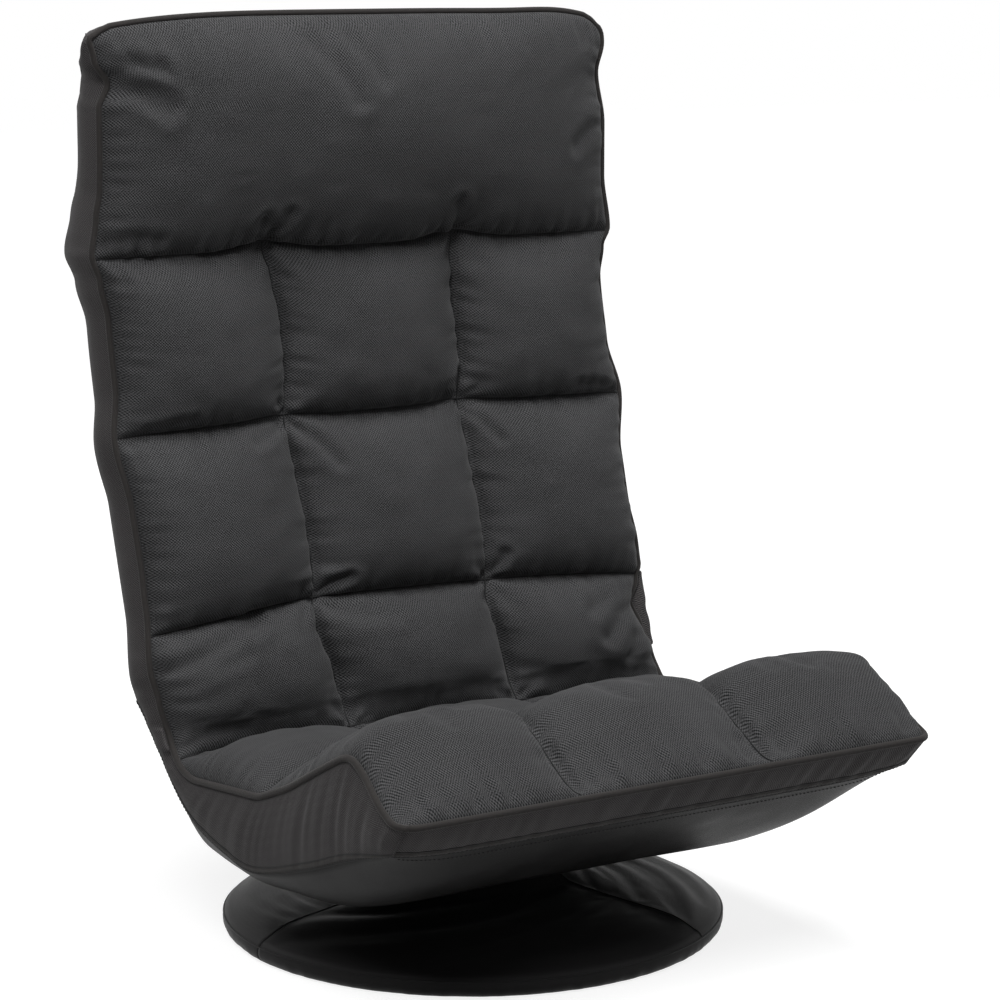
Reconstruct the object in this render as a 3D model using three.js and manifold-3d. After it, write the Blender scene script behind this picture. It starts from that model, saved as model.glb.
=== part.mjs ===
// A legless swivel chair: a padded seat and back over a bent tube frame, joined by two
// ratchet hinges, on a round base with a cloth cover. Millimetres, +Z up. The origin is on
// the floor at the swivel axis, and the chair faces -Y.
import * as THREE from 'three';
import { mergeVertices } from 'three/addons/utils/BufferGeometryUtils.js';
import Module from 'manifold-3d';

const wasm = await Module();
wasm.setup();

// Driving dimensions

// Gaps and counts shared by all pieces
const degree = Math.PI / 180;
const clearance = 0.3;
const softClearance = 0.5;
const overrun = 5;
const roundSides = 24;
const tubeSides = 8;
const pipingSides = 6;
const boltSides = 8;

// Covers and padding across the whole chair
const pipingSpacing = 540;
const pipingRadius = 3;
const coverThickness = 2;
const boxingDepth = 42;
const columnSeamSpacing = 195;
const seamHeight = 4;
const crownHeight = 42;
const drawIn = 4;
const padClearance = 0.5;
const pillowFlatness = 2.4;
const pillowFullness = 0.55;

// Ratchet hinge line between seat and back
const hingeY = 123.5;
const hingeZ = 240.4;
const hingeDepth = 21.5;
const hingeHalfGap = 18;
const crownHalfGap = 40;

// Back, measured along the cushion line upwards from the hinge
const backLean = 16.5 * degree;
const headLean = 0;
const lowBackLength = 180;
const backBendRadius = 775;
const headRunLength = 174;
const lowerRowSeam = 34;
const upperRowSeam = 214;
const headSeam = 375;
const headCrownHeight = 52;

// Seat, measured along the cushion line downwards and forwards from the hinge
const lowBackDrop = 40;
const creaseRadius = 60;
const seatTilt = 5 * degree;
const seatRun = 347.5;
const creaseSeam = 81;
const seatRowSeam = 232;
const bolsterStart = 113;
const bolsterCrest = 261;
const bolsterEnd = 341;
const bolsterRise = 50;
const bolsterFrontRise = 5;
const bolsterCrownHeight = 40;

// Underside sling and the seam that joins it to the side boxing
const slingThickness = 1.8;
const slingFloorZ = 73.6;
const slingFloorRearY = 58;
const slingFloorFrontY = -62;
const slingFlatWidth = 340;
const sideSeamLowY = -66;
const sideSeamLowZ = 105;
const sideSeamFrontRise = 6;
const frontSeamY = -289;
const frontSeamZ = 166;
const slingHoleRadius = 93;

// Tube frames
const frameTubeRadius = 9.5;
const tubeWall = 1.5;
const tubeEndGap = 22;
const cornerRadius = 45;
const backFrameTopGap = 22;
const backCrossTubeRadius = 8;
const seatFrameFrontY = -284;
const seatFrameFrontZ = 190;
const seatFrameLowY = -58;
const seatFrameLowZ = 122;
const crossBarRadius = 10;
const crossBarSpacing = 104;
const crossBarFlatWidth = 330;
const foamFloorZ = 103;

// Ratchet hinge pieces, one set a side
const wheelThickness = 4;
const cheekThickness = 2.5;
const runningGap = 0.4;
const wheelInset = 49.7;
const wheelTipRadius = 14.5;
const toothDepth = 2.3;
const toothCount = 12;
const toothPitch = 20 * degree;
const toothFirstAngle = 150 * degree;
const toothRampShare = 0.85;
const cheekRadius = 18;
const tailHalfWidth = 9;
const cheekTailLength = 70;
const armTailLength = 80;
const pinRadius = 4.5;
const pinHeadRadius = 7;
const pinHeadThickness = 2.2;
const rivetRadius = 3;
const rivetHeadRadius = 5;
const rivetHeadThickness = 1.7;
const pawlPivotDrop = 42;
const pawlBossRadius = 7;
const pawlNoseHalfWidth = 2.5;
const stayRivetDrop = 61;
const springThickness = 1;
const springLength = 26;

// Swivel bearing
const bearingPlateThickness = 2.5;
const bearingLowerRadius = 80;
const bearingUpperRadius = 92;
const bearingBoreRadius = 32;
const raceInnerRadius = 46;
const raceOuterRadius = 62;
const raceRise = 2.2;
const cageHeight = 2.7;
const cageInnerRadius = 50;
const cageOuterRadius = 58;
const upperRaceDrop = 3.9;

// Bolts
const boltRadius = 3;
const boltHoleRadius = 3.4;
const boltHeadRadius = 5;
const boltHeadThickness = 3.7;
const nutThickness = 4;
const baseBoltCircleRadius = 72;
const seatBoltSpacing = 104;

// Round base
const baseOuterRadius = 230;
const baseCoverThickness = 1.5;
const ringTubeRadius = 9.5;
const bottomPanelThickness = 1.5;
const spokeRadius = 8;
const spokeInnerRadius = 12;
const hubPlateRadius = 78;
const hubPlateThickness = 3;
const hubPlateZ = 58;
const hubBoreRadius = 20;
const baseSides = 36;

// Worked out from the driving dimensions
const halfWidth = pipingSpacing / 2;
const panelInnerX = halfWidth - coverThickness;
const padHalfWidth = halfWidth - pipingRadius - padClearance;
const foamHalfWidth = panelInnerX - coverThickness;
const slingHalfWidth = panelInnerX - runningGap;
const bendLength = (backLean - headLean) * backBendRadius;
const backLength = lowBackLength + bendLength + headRunLength;
const creaseTurn = Math.PI / 2 - backLean + seatTilt;
const creaseLength = creaseRadius * creaseTurn;
const seatLength = lowBackDrop + creaseLength + seatRun;
const padFloor = (runningGap - pipingRadius) / 2;
const foamTop = padFloor - softClearance;
const padEndInset = pipingRadius + padClearance * 5;
const rearInner = coverThickness - boxingDepth;
const panelTop = -pipingRadius - runningGap;
const wheelInnerX = halfWidth - wheelInset - wheelThickness / 2;
const wheelOuterX = wheelInnerX + wheelThickness;
const cheekOuterX = wheelOuterX + runningGap;
const cheekInnerX = wheelInnerX - runningGap - cheekThickness;
const seatTubeX = cheekOuterX + cheekThickness + clearance + frameTubeRadius;
const backTubeX = wheelOuterX + clearance + frameTubeRadius;
const ringRadius = baseOuterRadius - baseCoverThickness - clearance - ringTubeRadius;
const ringZ = baseCoverThickness + clearance + ringTubeRadius;
const hubTopZ = hubPlateZ + hubPlateThickness;
const lowerPlateZ = hubTopZ + clearance;
const lowerRaceTopZ = lowerPlateZ + bearingPlateThickness + raceRise;
const cageZ = lowerRaceTopZ + clearance;
const upperRaceZ = cageZ + cageHeight + clearance;
const upperPlateZ = upperRaceZ + upperRaceDrop;
const upperPlateTopZ = upperPlateZ + bearingPlateThickness;
const crossBarZ = upperPlateTopZ + clearance + crossBarRadius;

const materials = {
  fabric: { color: 0x252528, roughness: 0.95, metalness: 0 },
  piping: { color: 0x1c1a19, roughness: 0.9, metalness: 0 },
  vinyl: { color: 0x121214, roughness: 0.35, metalness: 0 },
  baseCloth: { color: 0x161617, roughness: 0.55, metalness: 0 },
  foam: { color: 0xd8cfa8, roughness: 1, metalness: 0 },
  paintedSteel: { color: 0x1b1c1e, roughness: 0.45, metalness: 0.4 },
  zincSteel: { color: 0xa9adb0, roughness: 0.35, metalness: 0.9 },
};

const chair = new THREE.Group();

function add(name, geometry, material, parent = chair) {
  const mesh = new THREE.Mesh(geometry, new THREE.MeshStandardMaterial(materials[material]));
  mesh.name = name;
  parent.add(mesh);
  return mesh;
}

// Solid helpers

function toManifold(geometry) {
  const bare = geometry.clone();
  bare.deleteAttribute('normal');
  bare.deleteAttribute('uv');
  const merged = mergeVertices(bare);
  const mesh = new wasm.Mesh({
    numProp: 3,
    vertProperties: new Float32Array(merged.attributes.position.array),
    triVerts: new Uint32Array(merged.index.array),
  });
  return new wasm.Manifold(mesh);
}

function fromManifold(solid) {
  const mesh = solid.getMesh();
  const geometry = new THREE.BufferGeometry();
  geometry.setAttribute('position', new THREE.BufferAttribute(new Float32Array(mesh.vertProperties), 3));
  geometry.setIndex(new THREE.BufferAttribute(new Uint32Array(mesh.triVerts), 1));
  geometry.computeVertexNormals();
  return geometry;
}

function cut(geometry, tools) {
  let solid = toManifold(geometry);
  for (const tool of tools) {
    solid = solid.subtract(toManifold(tool));
  }
  return fromManifold(solid);
}

// A closed solid between two surfaces given on one grid of stations and columns
function slab(stationCount, columnCount, upper, lower) {
  const positions = [];
  const indices = [];
  const layerSize = stationCount * columnCount;
  for (const surface of [upper, lower]) {
    for (let i = 0; i < stationCount; i += 1) {
      for (let j = 0; j < columnCount; j += 1) {
        positions.push(...surface(i, j));
      }
    }
  }
  const quad = (a, b, c, d) => indices.push(a, b, c, a, c, d);
  const top = (i, j) => i * columnCount + j;
  const bottom = (i, j) => layerSize + top(i, j);
  for (let i = 0; i + 1 < stationCount; i += 1) {
    for (let j = 0; j + 1 < columnCount; j += 1) {
      quad(top(i, j), top(i, j + 1), top(i + 1, j + 1), top(i + 1, j));
      quad(bottom(i, j), bottom(i + 1, j), bottom(i + 1, j + 1), bottom(i, j + 1));
    }
    const last = columnCount - 1;
    quad(top(i, 0), top(i + 1, 0), bottom(i + 1, 0), bottom(i, 0));
    quad(top(i, last), bottom(i, last), bottom(i + 1, last), top(i + 1, last));
  }
  for (let j = 0; j + 1 < columnCount; j += 1) {
    const last = stationCount - 1;
    quad(top(0, j), bottom(0, j), bottom(0, j + 1), top(0, j + 1));
    quad(top(last, j), top(last, j + 1), bottom(last, j + 1), bottom(last, j));
  }
  return facingOut(positions, indices);
}

// Turns the faces round where the solid would be inside out
function facingOut(positions, indices) {
  let sixfoldVolume = 0;
  for (let k = 0; k < indices.length; k += 3) {
    const [a, b, c] = [0, 1, 2].map((n) => new THREE.Vector3().fromArray(positions, indices[k + n] * 3));
    sixfoldVolume += a.dot(b.cross(c));
  }
  const ordered = sixfoldVolume > 0 ? indices : [...indices].reverse();
  const geometry = new THREE.BufferGeometry();
  geometry.setAttribute('position', new THREE.Float32BufferAttribute(positions, 3));
  geometry.setIndex(ordered);
  geometry.computeVertexNormals();
  return geometry;
}

function circlePoints(radius, sides) {
  const points = [];
  for (let k = 0; k < sides; k += 1) {
    const angle = (k / sides) * 2 * Math.PI;
    points.push(new THREE.Vector2(radius * Math.cos(angle), radius * Math.sin(angle)));
  }
  return points;
}

// A path with one ring of a swept section at each of its stops
class StopPath extends THREE.Curve {
  constructor(stops) {
    super();
    this.stops = stops;
  }

  getPoint(t) {
    const place = clamp(t, 0, 1) * (this.stops.length - 1);
    const before = Math.min(Math.floor(place), this.stops.length - 2);
    return this.stops[before].clone().lerp(this.stops[before + 1], place - before);
  }

  getPointAt(t) {
    return this.getPoint(t);
  }

  getTangentAt(t) {
    const reach = 0.5 / (this.stops.length - 1);
    return this.getPoint(t + reach).sub(this.getPoint(t - reach)).normalize();
  }
}

// Sweeps a section along a smooth line through the points, with so many rings a span
function swept(points, section, ringsPerSpan) {
  const line = new THREE.CatmullRomCurve3(points, false, 'centripetal');
  const stops = line.getPoints((points.length - 1) * ringsPerSpan);
  return new THREE.ExtrudeGeometry(section, { steps: stops.length - 1, extrudePath: new StopPath(stops) });
}

function rod(points, radius, ringsPerSpan = 1, sides = tubeSides) {
  return swept(points, new THREE.Shape(circlePoints(radius, sides)), ringsPerSpan);
}

function tube(points, radius, ringsPerSpan = 1) {
  const section = new THREE.Shape(circlePoints(radius, tubeSides));
  section.holes.push(new THREE.Path(circlePoints(radius - tubeWall, tubeSides)));
  return swept(points, section, ringsPerSpan);
}

// The space that a rod or tube takes in foam, run on past both of its ends
function rodSpace(points, radius, ringsPerSpan = 1) {
  const spaceRadius = (radius + softClearance) / Math.cos(Math.PI / tubeSides);
  const last = points.length - 1;
  const plugs = [[points[1], points[0]], [points[last - 1], points[last]]].map(([inner, end]) => {
    const beyond = end.clone().sub(inner).setLength(overrun).add(end);
    return rod([inner, end, beyond], spaceRadius);
  });
  return [rod(points, spaceRadius, ringsPerSpan), ...plugs];
}

// A closed ring turned about Z from [radius, height] points
function turned(profile, sides = roundSides) {
  const points = [...profile, profile[0]].map(([radius, z]) => new THREE.Vector2(radius, z));
  const geometry = new THREE.LatheGeometry(points, sides);
  geometry.rotateX(Math.PI / 2);
  return facingOut([...geometry.attributes.position.array], [...geometry.index.array]);
}

// A solid turned about its own X axis from [radius, x] points, both ends on the axis
function turnedOnX(profile, sides) {
  const points = profile.map(([radius, x]) => new THREE.Vector2(radius, x));
  const geometry = new THREE.LatheGeometry(points, sides);
  geometry.rotateZ(-Math.PI / 2);
  return geometry;
}

// A flat outline in the Y-Z plane, thickened along X from the given place
function plateOnX(outline, holes, startX, thickness) {
  const shape = new THREE.Shape(outline);
  for (const hole of holes) {
    shape.holes.push(new THREE.Path(hole));
  }
  const geometry = new THREE.ExtrudeGeometry(shape, { depth: thickness, bevelEnabled: false });
  const basis = new THREE.Matrix4().makeBasis(
    new THREE.Vector3(0, 1, 0),
    new THREE.Vector3(0, 0, 1),
    new THREE.Vector3(1, 0, 0),
  );
  geometry.applyMatrix4(basis);
  geometry.translate(startX, 0, 0);
  return geometry;
}

function mix(a, b, share) {
  return a + (b - a) * share;
}

function clamp(value, low, high) {
  return Math.min(Math.max(value, low), high);
}

// Side profile

const footY = hingeY - hingeDepth * Math.cos(backLean);
const footZ = hingeZ + hingeDepth * Math.sin(backLean);

// The piping line without the bolster: u is the distance from the hinge, positive up the
// back and negative down into the seat. The normal points to the sitter.
function baseLine(u) {
  if (u >= 0) {
    const low = Math.min(u, lowBackLength);
    const bent = clamp(u - lowBackLength, 0, bendLength);
    const head = Math.max(u - lowBackLength - bendLength, 0);
    const lean = backLean - bent / backBendRadius;
    return {
      y: footY + low * Math.sin(backLean) + head * Math.sin(lean)
        + backBendRadius * (Math.cos(lean) - Math.cos(backLean)),
      z: footZ + low * Math.cos(backLean) + head * Math.cos(lean)
        + backBendRadius * (Math.sin(backLean) - Math.sin(lean)),
      normalAngle: Math.PI - lean,
    };
  }
  const drop = Math.min(-u, lowBackDrop);
  const turn = clamp((-u - lowBackDrop) / creaseRadius, 0, creaseTurn);
  const run = Math.max(-u - lowBackDrop - creaseLength, 0);
  const dropY = footY - drop * Math.sin(backLean);
  const dropZ = footZ - drop * Math.cos(backLean);
  const startAngle = Math.PI - backLean;
  const normalAngle = startAngle - turn;
  return {
    y: dropY + creaseRadius * (Math.cos(startAngle) - Math.cos(normalAngle))
      - run * Math.cos(seatTilt),
    z: dropZ + creaseRadius * (Math.sin(startAngle) - Math.sin(normalAngle))
      + run * Math.sin(seatTilt),
    normalAngle,
  };
}

// How far the front bolster lifts the piping off the base line
function bolsterHump(u) {
  const run = -u - lowBackDrop - creaseLength;
  if (run <= bolsterStart) {
    return 0;
  }
  if (run <= bolsterCrest) {
    const share = (run - bolsterStart) / (bolsterCrest - bolsterStart);
    return bolsterRise * (1 - Math.cos(share * Math.PI)) / 2;
  }
  const share = Math.min((run - bolsterCrest) / (bolsterEnd - bolsterCrest), 1);
  return mix(bolsterRise, bolsterFrontRise, (1 - Math.cos(share * Math.PI)) / 2);
}

// The place at distance u along the line and height n off it, towards the sitter
function at(u, n) {
  const base = baseLine(u);
  const offset = n + bolsterHump(u);
  return {
    y: base.y + offset * Math.cos(base.normalAngle),
    z: base.z + offset * Math.sin(base.normalAngle),
  };
}

function at3(x, u, n) {
  const place = at(u, n);
  return new THREE.Vector3(x, place.y, place.z);
}

// Front panel line, from the piping down to the front seam
const frontPiping = at(-seatLength, 0);
const frontFall = { y: frontSeamY - frontPiping.y, z: frontSeamZ - frontPiping.z };
const frontFallLength = Math.hypot(frontFall.y, frontFall.z);
const frontDown = { y: frontFall.y / frontFallLength, z: frontFall.z / frontFallLength };
const frontInward = { y: -frontDown.z, z: frontDown.y };

function frontPanelPoint(down, inward) {
  return new THREE.Vector2(
    frontPiping.y + frontDown.y * down + frontInward.y * inward,
    frontPiping.z + frontDown.z * down + frontInward.z * inward,
  );
}

// Lower seam of the side boxing, and the sling's line under the middle of the seat.
// Each place is a share of the way between the line's named places.
const slingRear = at(-hingeHalfGap, -boxingDepth);
const slingFront = frontPanelPoint(frontFallLength, coverThickness + softClearance);
const sideRearShares = [[0, 0], [0.18, 0.35], [0.36, 0.68], [0.5, 0.83], [0.735, 0.95], [1, 1]];
const sideFrontShares = [[0.377, 0.33], [0.726, 0.74], [1, 1]];
const middleRearShares = [[0, 0], [0.136, 0.4], [0.318, 0.732], [0.6, 0.955], [1, 1]];
const middleFrontShares = [[0, 0], [0.366, 0.08], [0.718, 0.475], [1, 1]];

function alongShares(shares, from, to) {
  return shares.map(([yShare, zShare]) => new THREE.Vector2(
    mix(from.y, to.y, yShare),
    mix(from.z, to.z, zShare),
  ));
}

const sideLow = { y: sideSeamLowY, z: sideSeamLowZ };
const sideFront = { y: slingFront.x, z: slingFront.y + sideSeamFrontRise };
const floorRear = { y: slingFloorRearY, z: slingFloorZ };
const floorFront = { y: slingFloorFrontY, z: slingFloorZ };
const sideSeam = new THREE.SplineCurve([
  ...alongShares(sideRearShares, slingRear, sideLow),
  ...alongShares(sideFrontShares, sideLow, sideFront),
]);
const middleSling = new THREE.SplineCurve([
  ...alongShares(middleRearShares, slingRear, floorRear),
  ...alongShares(middleFrontShares, floorFront, { y: slingFront.x, z: slingFront.y }),
]);

// Place on the sling's outer face at share t from hinge to front, raised towards the
// cushion line by the given amount
function slingPlace(t, x, raised) {
  const side = sideSeam.getPointAt(t);
  const middle = middleSling.getPointAt(t);
  const past = clamp((Math.abs(x) - slingFlatWidth / 2) / (slingHalfWidth - slingFlatWidth / 2), 0, 1);
  const lift = past ** 3;
  const y = mix(middle.x, side.x, lift);
  const z = mix(middle.y, side.y, lift);
  const above = at(seatStation(t), foamTop);
  const reach = Math.hypot(above.y - y, above.z - z);
  return {
    y: y + (above.y - y) * raised / reach,
    z: z + (above.z - z) * raised / reach,
  };
}

function seatStation(t) {
  return mix(-hingeHalfGap, padEndInset - seatLength, t);
}

function seatShare(u) {
  return (u + hingeHalfGap) / (padEndInset - seatLength + hingeHalfGap);
}

// Tufted padding

// Stops along one line of pillows, closer together beside each seam
function pillowStops(edges, segments) {
  const stops = [edges[0]];
  for (let k = 0; k + 1 < edges.length; k += 1) {
    for (let step = 1; step <= segments[k]; step += 1) {
      const share = (1 - Math.cos((step / segments[k]) * Math.PI)) / 2;
      stops.push(mix(edges[k], edges[k + 1], share));
    }
  }
  return stops;
}

// Rises from 0 at both edges of its pillow to 1 in the middle
function pillowShare(place, edges) {
  for (let k = 0; k + 1 < edges.length; k += 1) {
    const low = Math.min(edges[k], edges[k + 1]);
    const high = Math.max(edges[k], edges[k + 1]);
    if (place >= low && place <= high) {
      const across = Math.abs((2 * (place - low)) / (high - low) - 1);
      return (1 - across ** pillowFlatness) ** pillowFullness;
    }
  }
  return 0;
}

const columnEdges = [-padHalfWidth, -columnSeamSpacing / 2, columnSeamSpacing / 2, padHalfWidth];
const bodyRowEdges = [headSeam, upperRowSeam, lowerRowSeam, -creaseSeam, -seatRowSeam, -seatLength];
const headRowEdges = [headSeam, backLength];
const headColumnEdges = [-padHalfWidth, padHalfWidth];

function bodyHeight(u, x) {
  const crown = u < -seatRowSeam ? bolsterCrownHeight : crownHeight;
  const lift = pillowShare(u, bodyRowEdges) * pillowShare(x, columnEdges);
  return seamHeight + (crown - seamHeight) * lift;
}

function headHeight(u, x) {
  const lift = pillowShare(u, headRowEdges) * pillowShare(x, headColumnEdges);
  return seamHeight + (headCrownHeight - seamHeight) * lift;
}

// The width draws in between the seams
function drawnIn(u, edges) {
  return 1 - (drawIn / padHalfWidth) * pillowShare(u, edges);
}

// A pad over the cushion line. Top and floor can start at different places.
function pad(topStops, floorStops, columns, rowEdges, height) {
  const place = (u, n, x) => {
    const flat = at(u, n);
    return [x * drawnIn(u, rowEdges), flat.y, flat.z];
  };
  return slab(
    topStops.length,
    columns.length,
    (i, j) => place(topStops[i], height(topStops[i], columns[j]), columns[j]),
    (i, j) => place(floorStops[i], padFloor, columns[j]),
  );
}

// The floor of a pad follows its top's stops, spread over its own length
function spread(stops, start, end) {
  const first = stops[0];
  const last = stops[stops.length - 1];
  return stops.map((u) => mix(start, end, (u - first) / (last - first)));
}

// Stops of the seat past the hinge's crown gap, whatever part of a pillow it takes
function pastGap(edges, segments) {
  const past = pillowStops(edges, segments).filter((u) => -u > crownHalfGap + overrun);
  return [-crownHalfGap, ...past];
}

const columnStops = pillowStops(columnEdges, [6, 6, 6]);
const backRows = [lowerRowSeam + padClearance, upperRowSeam, headSeam - padClearance];
const backTopStops = pillowStops(backRows, [7, 6]);
const backFloorStops = spread(backTopStops, hingeHalfGap, headSeam - padClearance);
const headStops = pillowStops([headSeam + padClearance, backLength - padEndInset], [7]);
const seatRows = [lowerRowSeam, -creaseSeam, -seatRowSeam, padEndInset - seatLength];
const seatTopStops = pastGap(seatRows, [7, 7, 8]);
const seatFloorStops = spread(seatTopStops, -hingeHalfGap, padEndInset - seatLength);

const slingColumns = [
  ...pillowStops([-slingHalfWidth, -slingFlatWidth / 2], [4]),
  ...pillowStops([slingFlatWidth / 2, slingHalfWidth], [4]),
];

function addPads() {
  add('back_pad', pad(backTopStops, backFloorStops, columnStops, bodyRowEdges, bodyHeight), 'fabric');
  const headColumns = pillowStops(headColumnEdges, [12]);
  add('headrest_pad', pad(headStops, headStops, headColumns, headRowEdges, headHeight), 'fabric');
  add('seat_pad', pad(seatTopStops, seatFloorStops, columnStops, bodyRowEdges, bodyHeight), 'fabric');
}

// The stretch of padding and cover that bends with the hinge

function addBend() {
  const floorEnd = hingeHalfGap - softClearance;
  const stops = pillowStops([softClearance - crownHalfGap, lowerRowSeam - padClearance], [7]);
  const floor = spread(stops, -floorEnd, floorEnd);
  add('pad_bend', pad(stops, floor, columnStops, bodyRowEdges, bodyHeight), 'fabric');

  const outline = [
    [-halfWidth, panelTop], [-halfWidth, -boxingDepth], [halfWidth, -boxingDepth], [halfWidth, panelTop],
    [panelInnerX, panelTop], [panelInnerX, rearInner], [-panelInnerX, rearInner], [-panelInnerX, panelTop],
  ].map(([x, n]) => new THREE.Vector2(x, n));
  const band = new THREE.ExtrudeGeometry(new THREE.Shape(outline), { depth: 2 * floorEnd, bevelEnabled: false });
  band.translate(0, 0, -floorEnd);
  const basis = new THREE.Matrix4().makeBasis(
    new THREE.Vector3(1, 0, 0),
    new THREE.Vector3(0, -Math.cos(backLean), Math.sin(backLean)),
    new THREE.Vector3(0, -Math.sin(backLean), -Math.cos(backLean)),
  );
  band.applyMatrix4(basis);
  band.translate(0, footY, footZ);
  add('cover_bend', band, 'fabric');
}

// Covers of the back

function evenStops(count, start, end) {
  return Array.from({ length: count }, (_, i) => mix(start, end, i / (count - 1)));
}

const pipingCorner = pipingRadius * 2;
const backEdgeStops = evenStops(18, hingeHalfGap, backLength - pipingCorner);
const seatEdgeStops = evenStops(27, -hingeHalfGap, pipingCorner - seatLength);

function outlineAt(stations, n) {
  return stations.map((u) => {
    const place = at(u, n);
    return new THREE.Vector2(place.y, place.z);
  });
}

// The same line moved square to itself, the way a seam allowance runs beside a seam
function movedLine(line, distance) {
  const last = line.length - 1;
  const step = (i) => line[i + 1].clone().sub(line[i]).normalize();
  const square = (way) => new THREE.Vector2(way.y, -way.x);
  return line.map((place, i) => {
    const before = step(Math.max(i - 1, 0));
    const after = step(Math.min(i, last - 1));
    const normal = square(before.clone().add(after).normalize());
    return place.clone().addScaledVector(normal, distance / normal.dot(square(after)));
  });
}

function addSidePanels(prefix, outline) {
  add(`${prefix}_side_panel_left`, plateOnX(outline, [], -halfWidth, coverThickness), 'fabric');
  add(`${prefix}_side_panel_right`, plateOnX(outline, [], panelInnerX, coverThickness), 'fabric');
}

function addBackCovers() {
  const stations = [...backEdgeStops, backLength];
  const front = outlineAt(stations, panelTop);
  const rear = outlineAt(stations, rearInner + clearance).reverse();
  addSidePanels('back', [...front, ...rear]);

  const corners = [-halfWidth, halfWidth];
  const rearFace = (n) => (i, j) => [corners[j], at(stations[i], n).y, at(stations[i], n).z];
  add('back_rear_panel', slab(stations.length, 2, rearFace(rearInner), rearFace(-boxingDepth)), 'fabric');

  const topPlaces = [panelTop, rearInner + clearance];
  const topEnds = [-panelInnerX + runningGap, panelInnerX - runningGap];
  const topFace = (u) => (i, j) => [topEnds[j], at(u, topPlaces[i]).y, at(u, topPlaces[i]).z];
  const topPanel = slab(2, 2, topFace(backLength), topFace(backLength - coverThickness));
  add('back_top_panel', topPanel, 'fabric');
}

// Covers of the seat

function addSeatCovers() {
  const pipingLine = outlineAt([...seatEdgeStops, pipingRadius - seatLength], 0);
  const topEdge = movedLine(pipingLine, panelTop);
  const frontEdge = [
    frontPanelPoint(pipingRadius * 2, 0),
    frontPanelPoint(frontFallLength - sideSeamFrontRise, 0),
  ];
  const bottomEdge = [];
  const bottomCount = 18;
  for (let k = bottomCount; k >= 0; k -= 1) {
    bottomEdge.push(sideSeam.getPointAt(k / bottomCount));
  }
  addSidePanels('seat', [...topEdge, ...frontEdge, ...bottomEdge]);

  const frontStart = pipingRadius + 3 * softClearance;
  const panel = [
    frontPanelPoint(frontStart, 0),
    frontPanelPoint(frontFallLength, 0),
    frontPanelPoint(frontFallLength, coverThickness),
    frontPanelPoint(frontStart, coverThickness),
  ].reverse();
  const panelWidth = 2 * slingHalfWidth;
  add('seat_front_panel', plateOnX(panel, [], -slingHalfWidth, panelWidth), 'fabric');

  const face = (raised) => (i, j) => {
    const place = slingPlace(seatShare(seatFloorStops[i]), slingColumns[j], raised);
    return [slingColumns[j], place.y, place.z];
  };
  const sling = slab(seatFloorStops.length, slingColumns.length, face(slingThickness), face(0));
  const holeTop = hubPlateZ + boxingDepth;
  const hole = turned([[0, hubPlateZ], [slingHoleRadius, hubPlateZ], [slingHoleRadius, holeTop], [0, holeTop]]);
  add('seat_hull_cover', cut(sling, [hole]), 'vinyl');
}

// Piping cords and tube frames

// Places round a corner, as shares of its radius in from each straight side
const cornerStops = [0.25, 0.5, 0.75, 1].map((share) => [
  1 - Math.cos(share * Math.PI / 2),
  1 - Math.sin(share * Math.PI / 2),
]);

function mirrored(points) {
  return points.map((p) => new THREE.Vector3(-p.x, p.y, p.z)).reverse();
}

function addPiping() {
  const backSide = backEdgeStops.map((u) => at3(-halfWidth, u, 0));
  const topLeft = cornerStops.map(([across, along]) => (
    at3(-halfWidth + pipingCorner * across, backLength - pipingCorner * along, 0)
  ));
  const backHalf = [...backSide, ...topLeft];
  const backPath = [...backHalf, ...mirrored(backHalf)];
  add('back_piping', rod(backPath, pipingRadius, 1, pipingSides), 'piping');

  const seatSide = seatEdgeStops.map((u) => at3(-halfWidth, u, 0));
  const frontLeft = cornerStops.map(([across, along]) => (
    at3(-halfWidth + pipingCorner * across, -seatLength + pipingCorner * along, 0)
  ));
  const seatHalf = [...seatSide, ...frontLeft];
  const seatPath = [...seatHalf, ...mirrored(seatHalf)];
  add('seat_piping', rod(seatPath, pipingRadius, 1, pipingSides), 'piping');
}

function backFramePoints() {
  const side = evenStops(10, tubeEndGap, backLength - backFrameTopGap - cornerRadius)
    .map((u) => at3(-backTubeX, u, -hingeDepth));
  const top = backLength - backFrameTopGap;
  const bend = cornerStops.map(([across, along]) => (
    at3(-backTubeX + cornerRadius * across, top - cornerRadius * along, -hingeDepth)
  ));
  const half = [...side, ...bend];
  return [...half, ...mirrored(half)];
}

function backCrossTubePoints() {
  const reach = backTubeX - frameTubeRadius - clearance;
  return [at3(-reach, upperRowSeam, -hingeDepth), at3(reach, upperRowSeam, -hingeDepth)];
}

// Places of the seat's side rails between the crease and the front, as shares of the way
const railRearShares = [[0.43, 0.55], [1, 1]];
const railFrontShares = [[0.22, 0.06], [0.42, 0.28], [0.62, 0.55], [0.8, 0.78]];

function seatRailPoints() {
  const creaseEnd = -lowBackDrop - creaseLength;
  const upper = evenStops(6, -tubeEndGap, creaseEnd).map((u) => at3(-seatTubeX, u, -hingeDepth));
  const lastUpper = upper[upper.length - 1];
  const low = { y: seatFrameLowY, z: seatFrameLowZ };
  const front = { y: seatFrameFrontY, z: seatFrameFrontZ };
  const rear = alongShares(railRearShares, lastUpper, low);
  const forward = alongShares(railFrontShares, low, front);
  const lower = [...rear, ...forward].map((p) => new THREE.Vector3(-seatTubeX, p.x, p.y));
  return [...upper, ...lower];
}

function seatFramePoints() {
  const rails = seatRailPoints();
  const bendStart = rails[rails.length - 1];
  const bend = cornerStops.map(([across, along]) => new THREE.Vector3(
    -seatTubeX + cornerRadius * across,
    mix(seatFrameFrontY, bendStart.y, along),
    mix(seatFrameFrontZ, bendStart.z, along),
  ));
  const half = [...rails, ...bend];
  return [...half, ...mirrored(half)];
}

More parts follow.
